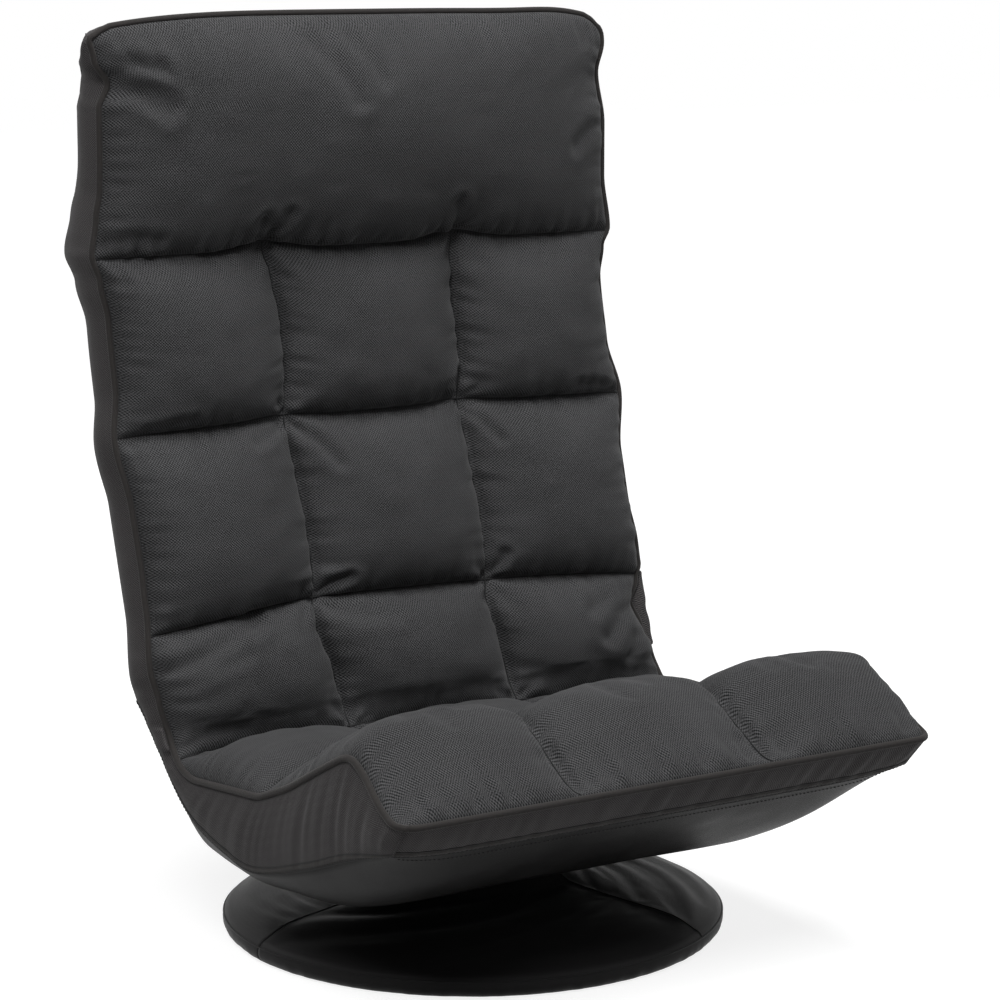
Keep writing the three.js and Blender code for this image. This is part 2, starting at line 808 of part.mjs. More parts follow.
// Height of the side rail's centre at a place along Y
function railHeight(y) {
  const rail = new THREE.CatmullRomCurve3(seatRailPoints(), false, 'centripetal').getPoints(200);
  const behind = rail.findIndex((p) => p.y < y);
  const [a, b] = [rail[behind - 1], rail[behind]];
  return mix(a.z, b.z, (y - a.y) / (b.y - a.y));
}

// A cross bar drops from the rails, runs flat over the bearing plate and rises again
const barDropShares = [[0.1, 0], [0.42, 0.45], [0.78, 0.93], [1.15, 1]];

function crossBarPoints(y) {
  const railZ = railHeight(y);
  const reach = seatTubeX - frameTubeRadius - clearance;
  const flat = crossBarFlatWidth / 2;
  const drop = barDropShares.map(([xShare, zShare]) => new THREE.Vector3(
    -mix(reach, flat, xShare),
    y,
    mix(railZ, crossBarZ, zShare),
  ));
  const overBolt = new THREE.Vector3(-seatBoltSpacing / 2, y, crossBarZ);
  const half = [new THREE.Vector3(-reach, y, railZ), ...drop, overBolt];
  return [...half, ...mirrored(half)];
}

function barHoles(y) {
  return [-1, 1].map((side) => {
    const hole = new THREE.CylinderGeometry(boltHoleRadius, boltHoleRadius, 4 * crossBarRadius, boltSides);
    hole.rotateX(Math.PI / 2);
    hole.translate(side * seatBoltSpacing / 2, y, crossBarZ);
    return hole;
  });
}

function addFrames() {
  add('seat_frame_tube', tube(seatFramePoints(), frameTubeRadius), 'paintedSteel');
  add('back_frame_tube', tube(backFramePoints(), frameTubeRadius), 'paintedSteel');
  add('back_cross_tube', tube(backCrossTubePoints(), backCrossTubeRadius), 'paintedSteel');
  for (const [place, side] of [['front', -1], ['rear', 1]]) {
    const y = side * crossBarSpacing / 2;
    const bar = rod(crossBarPoints(y), crossBarRadius);
    add(`seat_cross_bar_${place}`, cut(bar, barHoles(y)), 'paintedSteel');
  }
}

// Foam bodies, hollowed for the frames and hinges

// Box beside the hinge axis: across from startX to endX, and along the hinge line from
// startU to endU, with the given half depth
function hingePocket(startX, endX, startU, endU, halfDepth) {
  const box = new THREE.BoxGeometry(endX - startX, 2 * halfDepth, endU - startU);
  box.translate((startX + endX) / 2, 0, (startU + endU) / 2);
  box.rotateX(-backLean);
  box.translate(0, hingeY, hingeZ);
  return box;
}

function mirroredPockets(startX, endX, startU, endU, halfDepth) {
  return [
    hingePocket(startX, endX, startU, endU, halfDepth),
    hingePocket(-endX, -startX, startU, endU, halfDepth),
  ];
}

function addFoam() {
  const columns = [-foamHalfWidth, foamHalfWidth];
  const backStops = [...backFloorStops, ...headStops];
  const backFace = (n) => (i, j) => [columns[j], at(backStops[i], n).y, at(backStops[i], n).z];
  const backBlock = slab(backStops.length, 2, backFace(foamTop), backFace(rearInner + softClearance));
  const armPockets = mirroredPockets(
    wheelInnerX - softClearance,
    wheelOuterX + softClearance,
    hingeHalfGap - overrun,
    armTailLength + softClearance,
    tailHalfWidth + softClearance,
  );
  const backTools = [
    ...rodSpace(backFramePoints(), frameTubeRadius),
    ...rodSpace(backCrossTubePoints(), backCrossTubeRadius),
    ...armPockets,
  ];
  add('back_foam', cut(backBlock, backTools), 'foam');

  const flatEdge = slingFlatWidth / 2;
  const seatColumns = [-foamHalfWidth, -flatEdge, flatEdge, foamHalfWidth];
  const seatTop = (i, j) => {
    const place = at(seatFloorStops[i], foamTop);
    return [seatColumns[j], place.y, place.z];
  };
  const seatBottom = (i, j) => {
    const place = slingPlace(seatShare(seatFloorStops[i]), seatColumns[j], slingThickness + 4 * softClearance);
    return [seatColumns[j], place.y, Math.max(place.z, foamFloorZ)];
  };
  const seatBlock = slab(seatFloorStops.length, seatColumns.length, seatTop, seatBottom);
  const cheekPockets = mirroredPockets(
    cheekInnerX - rivetHeadThickness - softClearance * 2,
    cheekOuterX + cheekThickness + softClearance,
    -cheekTailLength - softClearance,
    -hingeHalfGap + overrun,
    tailHalfWidth + softClearance * 2,
  );
  const seatTools = [
    ...rodSpace(seatFramePoints(), frameTubeRadius),
    ...rodSpace(crossBarPoints(-crossBarSpacing / 2), crossBarRadius),
    ...rodSpace(crossBarPoints(crossBarSpacing / 2), crossBarRadius),
    ...cheekPockets,
  ];
  add('seat_foam', cut(seatBlock, seatTools), 'foam');
}

// Ratchet hinges. Each piece lies in a group whose Z runs up the back from the hinge axis.

function arcPoints(centerY, centerZ, radius, start, end, count) {
  const points = [];
  for (let k = 0; k <= count; k += 1) {
    const angle = mix(start, end, k / count);
    points.push(new THREE.Vector2(centerY + radius * Math.cos(angle), centerZ + radius * Math.sin(angle)));
  }
  return points;
}

function holeAt(z, radius) {
  return circlePoints(radius, boltSides).map((p) => new THREE.Vector2(p.x, p.y + z));
}

function cheekOutline() {
  const half = Math.asin(tailHalfWidth / cheekRadius);
  const tailEnd = tailHalfWidth - cheekTailLength;
  return [
    ...arcPoints(0, 0, cheekRadius, -Math.PI / 2 + half, (3 * Math.PI) / 2 - half, 14),
    ...arcPoints(0, tailEnd, tailHalfWidth, Math.PI, 2 * Math.PI, 6),
  ];
}

function armOutline() {
  const rootRadius = wheelTipRadius - toothDepth;
  const half = Math.asin(tailHalfWidth / rootRadius);
  const tailEnd = armTailLength - tailHalfWidth;
  const points = arcPoints(0, 0, rootRadius, Math.PI / 2 + half, toothFirstAngle, 1);
  for (let k = 0; k < toothCount; k += 1) {
    const tipAngle = toothFirstAngle + (k + toothRampShare) * toothPitch;
    const rootAngle = toothFirstAngle + (k + 1) * toothPitch;
    points.push(new THREE.Vector2(wheelTipRadius * Math.cos(tipAngle), wheelTipRadius * Math.sin(tipAngle)));
    points.push(new THREE.Vector2(rootRadius * Math.cos(rootAngle), rootRadius * Math.sin(rootAngle)));
  }
  points.push(new THREE.Vector2(rootRadius * Math.sin(half), rootRadius * Math.cos(half)));
  points.push(...arcPoints(0, tailEnd, tailHalfWidth, 0, Math.PI, 8));
  return points;
}

function pawlOutline() {
  const noseZ = -wheelTipRadius - clearance;
  return [
    new THREE.Vector2(pawlNoseHalfWidth, noseZ),
    new THREE.Vector2(-pawlNoseHalfWidth, noseZ),
    new THREE.Vector2(-pawlBossRadius, mix(noseZ, -pawlPivotDrop, 0.6)),
    ...arcPoints(0, -pawlPivotDrop, pawlBossRadius, Math.PI, 2 * Math.PI, 8),
  ];
}

function springOutline() {
  const inner = pawlBossRadius + clearance;
  const foot = rivetRadius + clearance * 2;
  const top = springLength - stayRivetDrop;
  const outer = [
    new THREE.Vector2(foot, -stayRivetDrop),
    new THREE.Vector2(inner, mix(-stayRivetDrop, -pawlPivotDrop, 0.7)),
    new THREE.Vector2(inner, top),
  ];
  const back = [...outer].reverse().map((p) => new THREE.Vector2(p.x + springThickness, p.y));
  return [...outer, ...back].reverse();
}

function addHinge(side, sign) {
  const group = new THREE.Group();
  group.position.set(0, hingeY, hingeZ);
  group.rotation.x = -backLean;
  chair.add(group);
  const place = (name, outline, holes, innerX, thickness, material) => {
    const startX = sign > 0 ? innerX : -innerX - thickness;
    add(`${name}_${side}`, plateOnX(outline, holes, startX, thickness), material, group);
  };
  const pinHole = holeAt(0, (pinRadius + clearance) / Math.cos(Math.PI / boltSides));
  const pawlHole = holeAt(-pawlPivotDrop, rivetRadius + clearance);
  const stayHole = holeAt(-stayRivetDrop, rivetRadius + clearance);
  const cheekHoles = [pinHole, pawlHole, stayHole];
  place('hinge_inner_cheek', cheekOutline(), cheekHoles, cheekInnerX, cheekThickness, 'zincSteel');
  place('hinge_outer_cheek', cheekOutline(), cheekHoles, cheekOuterX, cheekThickness, 'zincSteel');
  place('hinge_back_arm', armOutline(), [pinHole], wheelInnerX, wheelThickness, 'zincSteel');
  place('hinge_pawl', pawlOutline(), [pawlHole], wheelInnerX, wheelThickness, 'zincSteel');
  place('hinge_pawl_spring', springOutline(), [], wheelInnerX, wheelThickness, 'zincSteel');

  const pinStart = cheekInnerX - clearance;
  const pinEnd = cheekOuterX + cheekThickness + clearance;
  const pin = turnedOnX([
    [0, pinStart - pinHeadThickness], [pinHeadRadius, pinStart - pinHeadThickness],
    [pinHeadRadius, pinStart], [pinRadius, pinStart],
    [pinRadius, pinEnd], [pinHeadRadius, pinEnd],
    [pinHeadRadius, pinEnd + pinHeadThickness], [0, pinEnd + pinHeadThickness],
  ], boltSides);
  pin.scale(sign, 1, 1);
  add(`hinge_pin_${side}`, sign > 0 ? pin : turnedOver(pin), 'zincSteel', group);

  for (const [name, drop] of [['pawl', pawlPivotDrop], ['stay', stayRivetDrop]]) {
    const rivet = turnedOnX([
      [0, pinStart - rivetHeadThickness], [rivetHeadRadius, pinStart - rivetHeadThickness],
      [rivetHeadRadius, pinStart], [rivetRadius, pinStart],
      [rivetRadius, pinEnd - clearance], [0, pinEnd - clearance],
    ], boltSides);
    rivet.scale(sign, 1, 1);
    rivet.translate(0, 0, -drop);
    add(`hinge_${name}_rivet_${side}`, sign > 0 ? rivet : turnedOver(rivet), 'zincSteel', group);
  }
}

// A mirrored solid has its faces inside out, so each face's corners are taken in reverse
function turnedOver(geometry) {
  const index = [...geometry.index.array].reverse();
  geometry.setIndex(index);
  return geometry;
}

// Swivel bearing and its bolts

function boltPlaces(radius, count) {
  return Array.from({ length: count }, (_, k) => {
    const angle = ((k + 0.5) / count) * 2 * Math.PI;
    return [radius * Math.cos(angle), radius * Math.sin(angle)];
  });
}

function drillTools(places, radius, z) {
  return places.map(([x, y]) => {
    const drill = new THREE.CylinderGeometry(radius, radius, 2 * boxingDepth, boltSides);
    drill.rotateX(Math.PI / 2);
    drill.translate(x, y, z);
    return drill;
  });
}

// A bolt with its head below and its nut above the grip
function bolt(gripStart, gripEnd) {
  const headZ = gripStart - clearance;
  const nutZ = gripEnd + clearance;
  const profile = [
    [0, headZ - boltHeadThickness + clearance], [boltHeadRadius, headZ - boltHeadThickness + clearance],
    [boltHeadRadius, headZ], [boltRadius, headZ],
    [boltRadius, nutZ], [boltHeadRadius, nutZ],
    [boltHeadRadius, nutZ + nutThickness], [0, nutZ + nutThickness],
  ];
  const geometry = new THREE.LatheGeometry(profile.map(([r, z]) => new THREE.Vector2(r, z)), boltSides);
  geometry.rotateX(Math.PI / 2);
  return geometry;
}

function seatBoltPlaces() {
  const x = seatBoltSpacing / 2;
  const y = crossBarSpacing / 2;
  return [[-x, -y], [x, -y], [x, y], [-x, y]];
}

function addSwivel() {
  const baseBolts = boltPlaces(baseBoltCircleRadius, 4);
  const lowerTop = lowerPlateZ + bearingPlateThickness;
  const rampWidth = raceRise;
  const lowerPlate = turned([
    [bearingBoreRadius, lowerPlateZ],
    [bearingLowerRadius, lowerPlateZ],
    [bearingLowerRadius, lowerTop],
    [raceOuterRadius + rampWidth, lowerTop],
    [raceOuterRadius, lowerRaceTopZ],
    [raceInnerRadius, lowerRaceTopZ],
    [raceInnerRadius - rampWidth, lowerTop],
    [bearingBoreRadius, lowerTop],
  ]);
  add('swivel_lower_plate', cut(lowerPlate, drillTools(baseBolts, boltHoleRadius, lowerTop)), 'zincSteel');

  const cage = turned([
    [cageInnerRadius, cageZ], [cageOuterRadius, cageZ],
    [cageOuterRadius, cageZ + cageHeight], [cageInnerRadius, cageZ + cageHeight],
  ]);
  add('swivel_ball_cage', cage, 'zincSteel');

  const upperPlate = turned([
    [bearingBoreRadius, upperPlateZ],
    [raceInnerRadius - rampWidth, upperPlateZ],
    [raceInnerRadius, upperRaceZ],
    [raceOuterRadius, upperRaceZ],
    [raceOuterRadius + rampWidth, upperPlateZ],
    [bearingUpperRadius, upperPlateZ],
    [bearingUpperRadius, upperPlateTopZ],
    [raceOuterRadius, upperPlateTopZ],
    [raceOuterRadius - rampWidth, upperRaceZ + bearingPlateThickness],
    [raceInnerRadius + rampWidth, upperRaceZ + bearingPlateThickness],
    [raceInnerRadius, upperPlateTopZ],
    [bearingBoreRadius, upperPlateTopZ],
  ]);
  const seatBolts = seatBoltPlaces();
  add('swivel_upper_plate', cut(upperPlate, drillTools(seatBolts, boltHoleRadius, upperPlateZ)), 'zincSteel');

  baseBolts.forEach(([x, y], k) => {
    const mesh = add(`base_bolt_${k + 1}`, bolt(hubPlateZ, lowerTop), 'zincSteel');
    mesh.position.set(x, y, 0);
  });
  seatBolts.forEach(([x, y], k) => {
    const mesh = add(`seat_bolt_${k + 1}`, bolt(upperPlateZ, crossBarZ + crossBarRadius), 'zincSteel');
    mesh.position.set(x, y, 0);
  });
}

// Round base

// Outer line of the base cover from the ring to the hub: radius as a share of the way
// from the ring to the hub plate, height as a share of the way up to the hub plate's top
const tentShares = [[0.1, 0.21], [0.23, 0.32], [0.5, 0.46], [0.82, 0.68], [0.92, 0.86], [0.965, 0.985]];
const spokeShares = [[0.05, 0.02], [0.15, 0.22], [0.3, 0.4], [0.55, 0.53], [0.75, 0.68], [0.87, 0.84], [0.94, 0.95], [1, 0.985]];

function addBase() {
  const ring = new THREE.TorusGeometry(ringRadius, ringTubeRadius, tubeSides, baseSides);
  const ringMesh = add('base_ring', ring, 'paintedSteel');
  ringMesh.position.z = ringZ;

  const spokeTopZ = hubPlateZ - 2 * clearance - spokeRadius;
  const spokeStart = ringRadius - ringTubeRadius - 3 * clearance;
  const spokeFlat = hubPlateRadius - spokeRadius;
  const spokePoints = [
    new THREE.Vector3(spokeStart, 0, ringZ),
    ...spokeShares.map(([rShare, zShare]) => new THREE.Vector3(
      mix(spokeStart, spokeFlat, rShare),
      0,
      mix(ringZ, spokeTopZ, zShare),
    )),
    new THREE.Vector3(spokeInnerRadius, 0, spokeTopZ),
  ];
  ['right', 'rear', 'left', 'front'].forEach((name, k) => {
    const spoke = add(`base_spoke_${name}`, rod(spokePoints, spokeRadius), 'paintedSteel');
    spoke.rotation.z = (k * Math.PI) / 2;
  });

  const hub = new THREE.Shape(circlePoints(hubPlateRadius, roundSides));
  hub.holes.push(new THREE.Path(circlePoints(hubBoreRadius, roundSides)));
  for (const [x, y] of boltPlaces(baseBoltCircleRadius, 4)) {
    const hole = circlePoints(boltHoleRadius, boltSides).map((p) => new THREE.Vector2(p.x + x, p.y + y));
    hub.holes.push(new THREE.Path(hole));
  }
  const hubMesh = add(
    'base_hub_plate',
    new THREE.ExtrudeGeometry(hub, { depth: hubPlateThickness, bevelEnabled: false }),
    'paintedSteel',
  );
  hubMesh.position.z = hubPlateZ;

  const ringTopZ = ringZ + ringTubeRadius + clearance + baseCoverThickness;
  const wrap = (radius) => arcPoints(ringRadius, ringZ, radius, -Math.PI / 2, Math.PI / 2, tubeSides / 2)
    .map((p) => [p.x, p.y]);
  const tent = (drop) => tentShares.map(([rShare, zShare]) => [
    mix(ringRadius, hubPlateRadius, rShare),
    mix(ringTopZ, hubTopZ, zShare) - drop,
  ]);
  const innerRadius = ringTubeRadius + clearance;
  const cover = turned([
    ...wrap(innerRadius + baseCoverThickness),
    ...tent(0),
    ...tent(baseCoverThickness).reverse(),
    ...wrap(innerRadius).reverse(),
  ], baseSides);
  add('base_cover', cover, 'baseCloth');

  const bottomPanel = new THREE.CylinderGeometry(
    ringRadius - softClearance,
    ringRadius - softClearance,
    bottomPanelThickness,
    baseSides,
  );
  bottomPanel.rotateX(Math.PI / 2);
  bottomPanel.translate(0, 0, bottomPanelThickness / 2);
  add('base_bottom_panel', bottomPanel, 'baseCloth');
}

addBase();
addSwivel();
addFrames();
addHinge('left', -1);
addHinge('right', 1);
addFoam();
addPads();
addBend();
addSeatCovers();
addBackCovers();
addPiping();

export default chair;
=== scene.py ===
"""A swivel floor chair: its padding, covers, piping and base cloth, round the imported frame.

Lengths are in metres; sizes are written in millimetres times MM. u is the distance along the
cushion line from the hinge, up the back or down into the seat, and n the height off that line.
"""

import math

import bpy
import numpy as np
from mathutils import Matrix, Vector, noise

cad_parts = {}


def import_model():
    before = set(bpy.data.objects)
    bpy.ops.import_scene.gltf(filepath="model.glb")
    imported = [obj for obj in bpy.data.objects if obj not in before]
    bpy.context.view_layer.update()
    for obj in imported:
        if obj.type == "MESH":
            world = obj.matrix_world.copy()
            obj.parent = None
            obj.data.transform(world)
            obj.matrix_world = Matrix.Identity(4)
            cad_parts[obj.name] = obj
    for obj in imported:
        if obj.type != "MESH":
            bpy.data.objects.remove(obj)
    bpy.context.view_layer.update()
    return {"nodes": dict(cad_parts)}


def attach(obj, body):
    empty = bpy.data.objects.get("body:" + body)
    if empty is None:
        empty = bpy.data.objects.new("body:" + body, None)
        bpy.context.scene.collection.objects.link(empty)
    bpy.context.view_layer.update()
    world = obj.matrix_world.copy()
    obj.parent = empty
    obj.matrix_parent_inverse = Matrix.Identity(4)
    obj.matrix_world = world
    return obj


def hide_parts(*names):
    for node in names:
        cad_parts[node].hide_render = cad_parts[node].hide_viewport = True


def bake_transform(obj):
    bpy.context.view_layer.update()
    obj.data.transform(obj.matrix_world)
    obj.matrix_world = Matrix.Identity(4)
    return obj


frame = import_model()

MM = 0.001
DEG = math.pi / 180

# Cushion line
PIPING_RADIUS = 3 * MM
BOXING_DEPTH = 42 * MM
BACK_LEAN = 16.5 * DEG
HINGE = (123.5 * MM, 240.4 * MM)
HINGE_DEPTH = 21.5 * MM
HINGE_HALF_GAP = 18 * MM
LOW_BACK = 180 * MM
BACK_BEND_RADIUS = 775 * MM
HEAD_RUN = 174 * MM
SEAT_DROP = 40 * MM
CREASE_RADIUS = 60 * MM
SEAT_TILT = 5 * DEG
SEAT_RUN = 347.5 * MM
# How the front bolster rises off the cushion line: (run from the crease, lift), in millimetres
BOLSTER = [
    (108, 0), (161, 15), (215, 37), (246, 49), (258, 53), (268, 52), (304, 26), (328, 9), (341, 5), (360, 5),
]
# The bolster's line is averaged over these places, which rounds its corners
HUMP_SPREAD = np.array([-8, -4, 0, 4, 8]) * MM

FOOT = (
    HINGE[0] - HINGE_DEPTH * math.cos(BACK_LEAN),
    HINGE[1] + HINGE_DEPTH * math.sin(BACK_LEAN),
)
BACK_BEND = BACK_LEAN * BACK_BEND_RADIUS
BACK_LENGTH = LOW_BACK + BACK_BEND + HEAD_RUN
CREASE_TURN = math.pi / 2 - BACK_LEAN + SEAT_TILT
CREASE_LENGTH = CREASE_RADIUS * CREASE_TURN
SEAT_LENGTH = SEAT_DROP + CREASE_LENGTH + SEAT_RUN

# Seams of the tufted cover
HEAD_SEAM = 375 * MM
UPPER_SEAM = 214 * MM
LOWER_SEAM = 34 * MM
CREASE_SEAM = -81 * MM
BOLSTER_SEAM = -232 * MM
COLUMN_SEAM = 97.5 * MM
PAD_HALF_WIDTH = 268.5 * MM
EDGE_HALF_WIDTH = 270 * MM
TOP_PINCH = 0.75
PINCH_REACH = 34 * MM
FRONT_CORNER = 20 * MM
TOP_CORNER = 12 * MM
PAD_FLOOR = -1.3 * MM
CLOTH_STEP = 5 * MM


def mix(a, b, share):
    return a + (b - a) * share


def unit(value):
    """The value, held between 0 and 1."""
    return np.clip(value, 0, 1)


def hump(run):
    """How far the front bolster lifts the cushion line."""
    places, lifts = np.array(BOLSTER).T * MM
    around = run[..., None] + HUMP_SPREAD
    return np.interp(around, places, lifts).mean(-1)


def cushion_line(u):
    """y, z, the angle of the outward normal and the run from the crease, bolster left out."""
    u = np.asarray(u, float)
    low = np.clip(u, 0, LOW_BACK)
    bent = np.clip(u - LOW_BACK, 0, BACK_BEND)
    head = np.clip(u - LOW_BACK - BACK_BEND, 0, None)
    lean = BACK_LEAN - bent / BACK_BEND_RADIUS
    drop = np.clip(-u, 0, SEAT_DROP)
    turn = np.clip((-u - SEAT_DROP) / CREASE_RADIUS, 0, CREASE_TURN)
    run = np.clip(-u - SEAT_DROP - CREASE_LENGTH, 0, None)
    start = math.pi - BACK_LEAN
    y = FOOT[0] + (low - drop) * math.sin(BACK_LEAN) + head * np.sin(lean)
    y = y + BACK_BEND_RADIUS * (np.cos(lean) - math.cos(BACK_LEAN))
    y = y + CREASE_RADIUS * (math.cos(start) - np.cos(start - turn)) - run * math.cos(SEAT_TILT)
    z = FOOT[1] + (low - drop) * math.cos(BACK_LEAN) + head * np.cos(lean)
    z = z + BACK_BEND_RADIUS * (math.sin(BACK_LEAN) - np.sin(lean))
    z = z + CREASE_RADIUS * (math.sin(start) - np.sin(start - turn)) + run * math.sin(SEAT_TILT)
    return y, z, math.pi - lean - turn, run


def place(x, u, n):
    """Points at width x, distance u along the line and height n off it."""
    x, u, n = np.broadcast_arrays(np.asarray(x, float), u, n)
    y, z, angle, run = cushion_line(u)
    off = n + hump(run)
    return np.stack([x, y + off * np.cos(angle), z + off * np.sin(angle)], -1)


def off_line(u):
    """The unit vector off the cushion line, towards the sitter."""
    angle = cushion_line(u)[2]
    return np.stack([0 * angle, np.cos(angle), np.sin(angle)], -1)


def along_line(u):
    """The unit vector up the cushion line."""
    angle = cushion_line(u)[2]
    return np.stack([0 * angle, np.sin(angle), -np.cos(angle)], -1)


def wave(table, at):
    """A smooth line through a short table of (place, value), both in millimetres."""
    places, values = np.array(table, float).T * MM
    at = np.clip(at, places[0], places[-1])
    k = np.clip(np.searchsorted(places, at, side="right") - 1, 0, len(places) - 2)
    t = (at - places[k]) / (places[k + 1] - places[k])
    return mix(values[k], values[k + 1], t * t * (3 - 2 * t))


def bump(offset, width):
    return np.exp(-((offset / width) ** 2))


# How far the sewn edge swings out: (u, outwards), in millimetres
LEFT_EDGE = [
    (-470, 6), (-440, 5), (-400, 0), (-200, 0), (-100, 0), (-55, -3), (-25, 1), (4, 5), (60, 0), (100, -1.5),
    (150, -1), (211, 6), (260, -1), (320, 0), (355, 6), (378, 13), (412, 8), (436, 4), (470, 3), (508, 3),
    (530, -6), (552, 7), (572, 12),
]
RIGHT_EDGE = [
    (-470, 7), (-440, 7), (-400, 2), (-200, 0), (-110, 0), (-65, 0), (-40, -2), (-16, -9), (8, -17), (28, -6),
    (44, 1), (70, 2), (106, -1), (156, 0), (217, 11), (268, 1), (330, -1.5), (360, 4), (378, 12), (430, 5),
    (480, 5), (530, -3), (558, 4), (577, 2),
]
# How far the rear edge of the sides stands out behind: (u, backwards), in millimetres
REAR_EDGE = [
    (-20, 0), (250, 0), (310, 2), (350, 8), (385, 13), (420, 8), (455, 1), (500, 1), (525, 3), (548, 7),
    (572, 0),
]
# How far from a column seam the cloth wanders with it
WANDER_REACH = 60 * MM
# How the two column seams wander sideways: (u, towards the right), in millimetres
LEFT_COLUMN = [
    (-470, -3), (-300, 0), (-232, 0), (-110, 6), (-75, 9), (-20, 6), (34, -6), (80, 0), (214, -3), (300, 0),
    (350, -4), (375, -9),
]
RIGHT_COLUMN = [
    (-470, -3), (-300, 0), (-232, 0), (-81, 0), (0, -2), (34, -10), (110, -4), (170, -6), (214, -13),
    (260, -3), (375, -6),
]


def edge_out(x, u):
    """How far the sewn edge on that side swings out."""
    return np.where(x < 0, wave(LEFT_EDGE, u), wave(RIGHT_EDGE, u))


def seam_lift(share, v):
    """How far the row seams bow up the cushion line; share runs from -1 to 1 across it."""
    bow = 1 - share**2
    corner = 5 * unit(np.abs(share) - 0.93) / 0.07
    crossing = bump(np.abs(share) - COLUMN_SEAM / PAD_HALF_WIDTH, 0.13)
    lifts = np.stack([
        0 * share,
        2 * MM * bow,
        7 * MM * bow,
        (15 * bow + 4 * bump(share + 0.4, 0.3)) * MM,
        (5 * bow + 4 * crossing) * MM,
        9 * MM * crossing,
        (13 * (1 - share**4) + 5 * bump(share - 0.85, 0.2) - corner) * MM,
    ])
    inner = [BOLSTER_SEAM, CREASE_SEAM, LOWER_SEAM, UPPER_SEAM, HEAD_SEAM]
    seams = np.array([-SEAT_LENGTH, *inner, BACK_LENGTH])
    k = np.clip(np.searchsorted(seams, v, side="right") - 1, 0, len(seams) - 2)
    t = (v - seams[k]) / (seams[k + 1] - seams[k])
    low = np.take_along_axis(lifts, k[None], 0)[0]
    high = np.take_along_axis(lifts, k[None] + 1, 0)[0]
    return mix(low, high, t)


def in_corners(x, u):
    """Rounds the four corners of the cloth, by drawing each corner square in to a quarter disc."""
    middle = (BACK_LENGTH - SEAT_LENGTH) / 2
    half = (BACK_LENGTH + SEAT_LENGTH) / 2
    radius = np.where(u < middle, FRONT_CORNER, TOP_CORNER)
    a = unit((np.abs(x) - EDGE_HALF_WIDTH) / radius + 1)
    b = unit((np.abs(u - middle) - half) / radius + 1)
    x = x - np.sign(x) * radius * a * (1 - np.sqrt(1 - b**2 / 2))
    u = u - np.sign(u - middle) * radius * b * (1 - np.sqrt(1 - a**2 / 2))
    return x, u


def surface(x, v, n):
    """Points of the tufted cover: x and v are cloth coordinates, before its edges and seams wander."""
    share = np.clip(x / PAD_HALF_WIDTH, -1, 1)
    u = v + seam_lift(share, v)
    x, u = in_corners(x, u)
    out = x + share * edge_out(x, u)
    out = out + wave(LEFT_COLUMN, u) * bump(x + COLUMN_SEAM, WANDER_REACH)
    out = out + wave(RIGHT_COLUMN, u) * bump(x - COLUMN_SEAM, WANDER_REACH)
    return place(out, u, n)


def rear_surface(x, v, n, swing=np.maximum):
    """The same for the back of the chair, which has no tuft seams and is pinched at its top corners."""
    share = np.clip(x / PAD_HALF_WIDTH, -1, 1)
    x, u = in_corners(x, v)
    out = x + share * swing(edge_out(x, u), 0)
    off = n - wave(REAR_EDGE, v) * share**6
    pinch = np.hypot(EDGE_HALF_WIDTH - np.abs(x), BACK_LENGTH - v)
    return place(out, u, off * (1 - TOP_PINCH * bump(pinch, PINCH_REACH)))


# Smooth lines and meshes

SPLINE_STEPS = 600


def run_along(line):
    """The distance along a line of points, at each of them."""
    return np.concatenate([[0], np.cumsum(np.linalg.norm(np.diff(line, axis=0), axis=1))])


def respaced(line, count):
    """count places spread evenly along a line of points."""
    run = run_along(line)
    at = np.linspace(0, run[-1], count)
    return np.stack([np.interp(at, run, line[:, i]) for i in range(line.shape[1])], 1)


def spline(points, count):
    """count places spread evenly along a smooth line through the points."""
    p = np.array(points, float)
    held = np.concatenate([p[:1], p, p[-1:]])
    t = np.linspace(0, len(p) - 1, SPLINE_STEPS)
    k = np.minimum(t.astype(int), len(p) - 2)
    f = (t - k)[:, None]
    a, b, c, d = held[k], held[k + 1], held[k + 2], held[k + 3]
    line = 0.5 * (2 * b + (c - a) * f + (2 * a - 5 * b + 4 * c - d) * f**2 + (3 * b - a - 3 * c + d) * f**3)
    return respaced(line, count)


def grid_faces(rows, columns, first=0, flip=False):
    i, j = np.meshgrid(np.arange(rows - 1), np.arange(columns - 1), indexing="ij")
    a = (first + i * columns + j).ravel()
    quads = np.stack([a, a + 1, a + columns + 1, a + columns], 1)
    return (quads[:, ::-1] if flip else quads).tolist()


def make(name, points, faces, coords=None):
    """A smooth shaded mesh object. coords are the cloth's own coordinates, in metres."""
    mesh = bpy.data.meshes.new(name)
    mesh.from_pydata(np.asarray(points).reshape(-1, 3).tolist(), [], faces)
    mesh.polygons.foreach_set("use_smooth", np.ones(len(mesh.polygons), bool))
    if coords is not None:
        layer = mesh.attributes.new("cloth", "FLOAT_VECTOR", "POINT")
        layer.data.foreach_set("vector", np.asarray(coords, np.float32).ravel())
    mesh.update()
    obj = bpy.data.objects.new(name, mesh)
    bpy.context.scene.collection.objects.link(obj)
    return obj


CLOTH_STIFFNESS = 15.0


def pins(shape, rows, columns):
    """Marks the rows and columns of a cloth that are sewn down."""
    pinned = np.zeros(shape, bool)
    pinned[rows] = True
    pinned[:, columns] = True
    return pinned


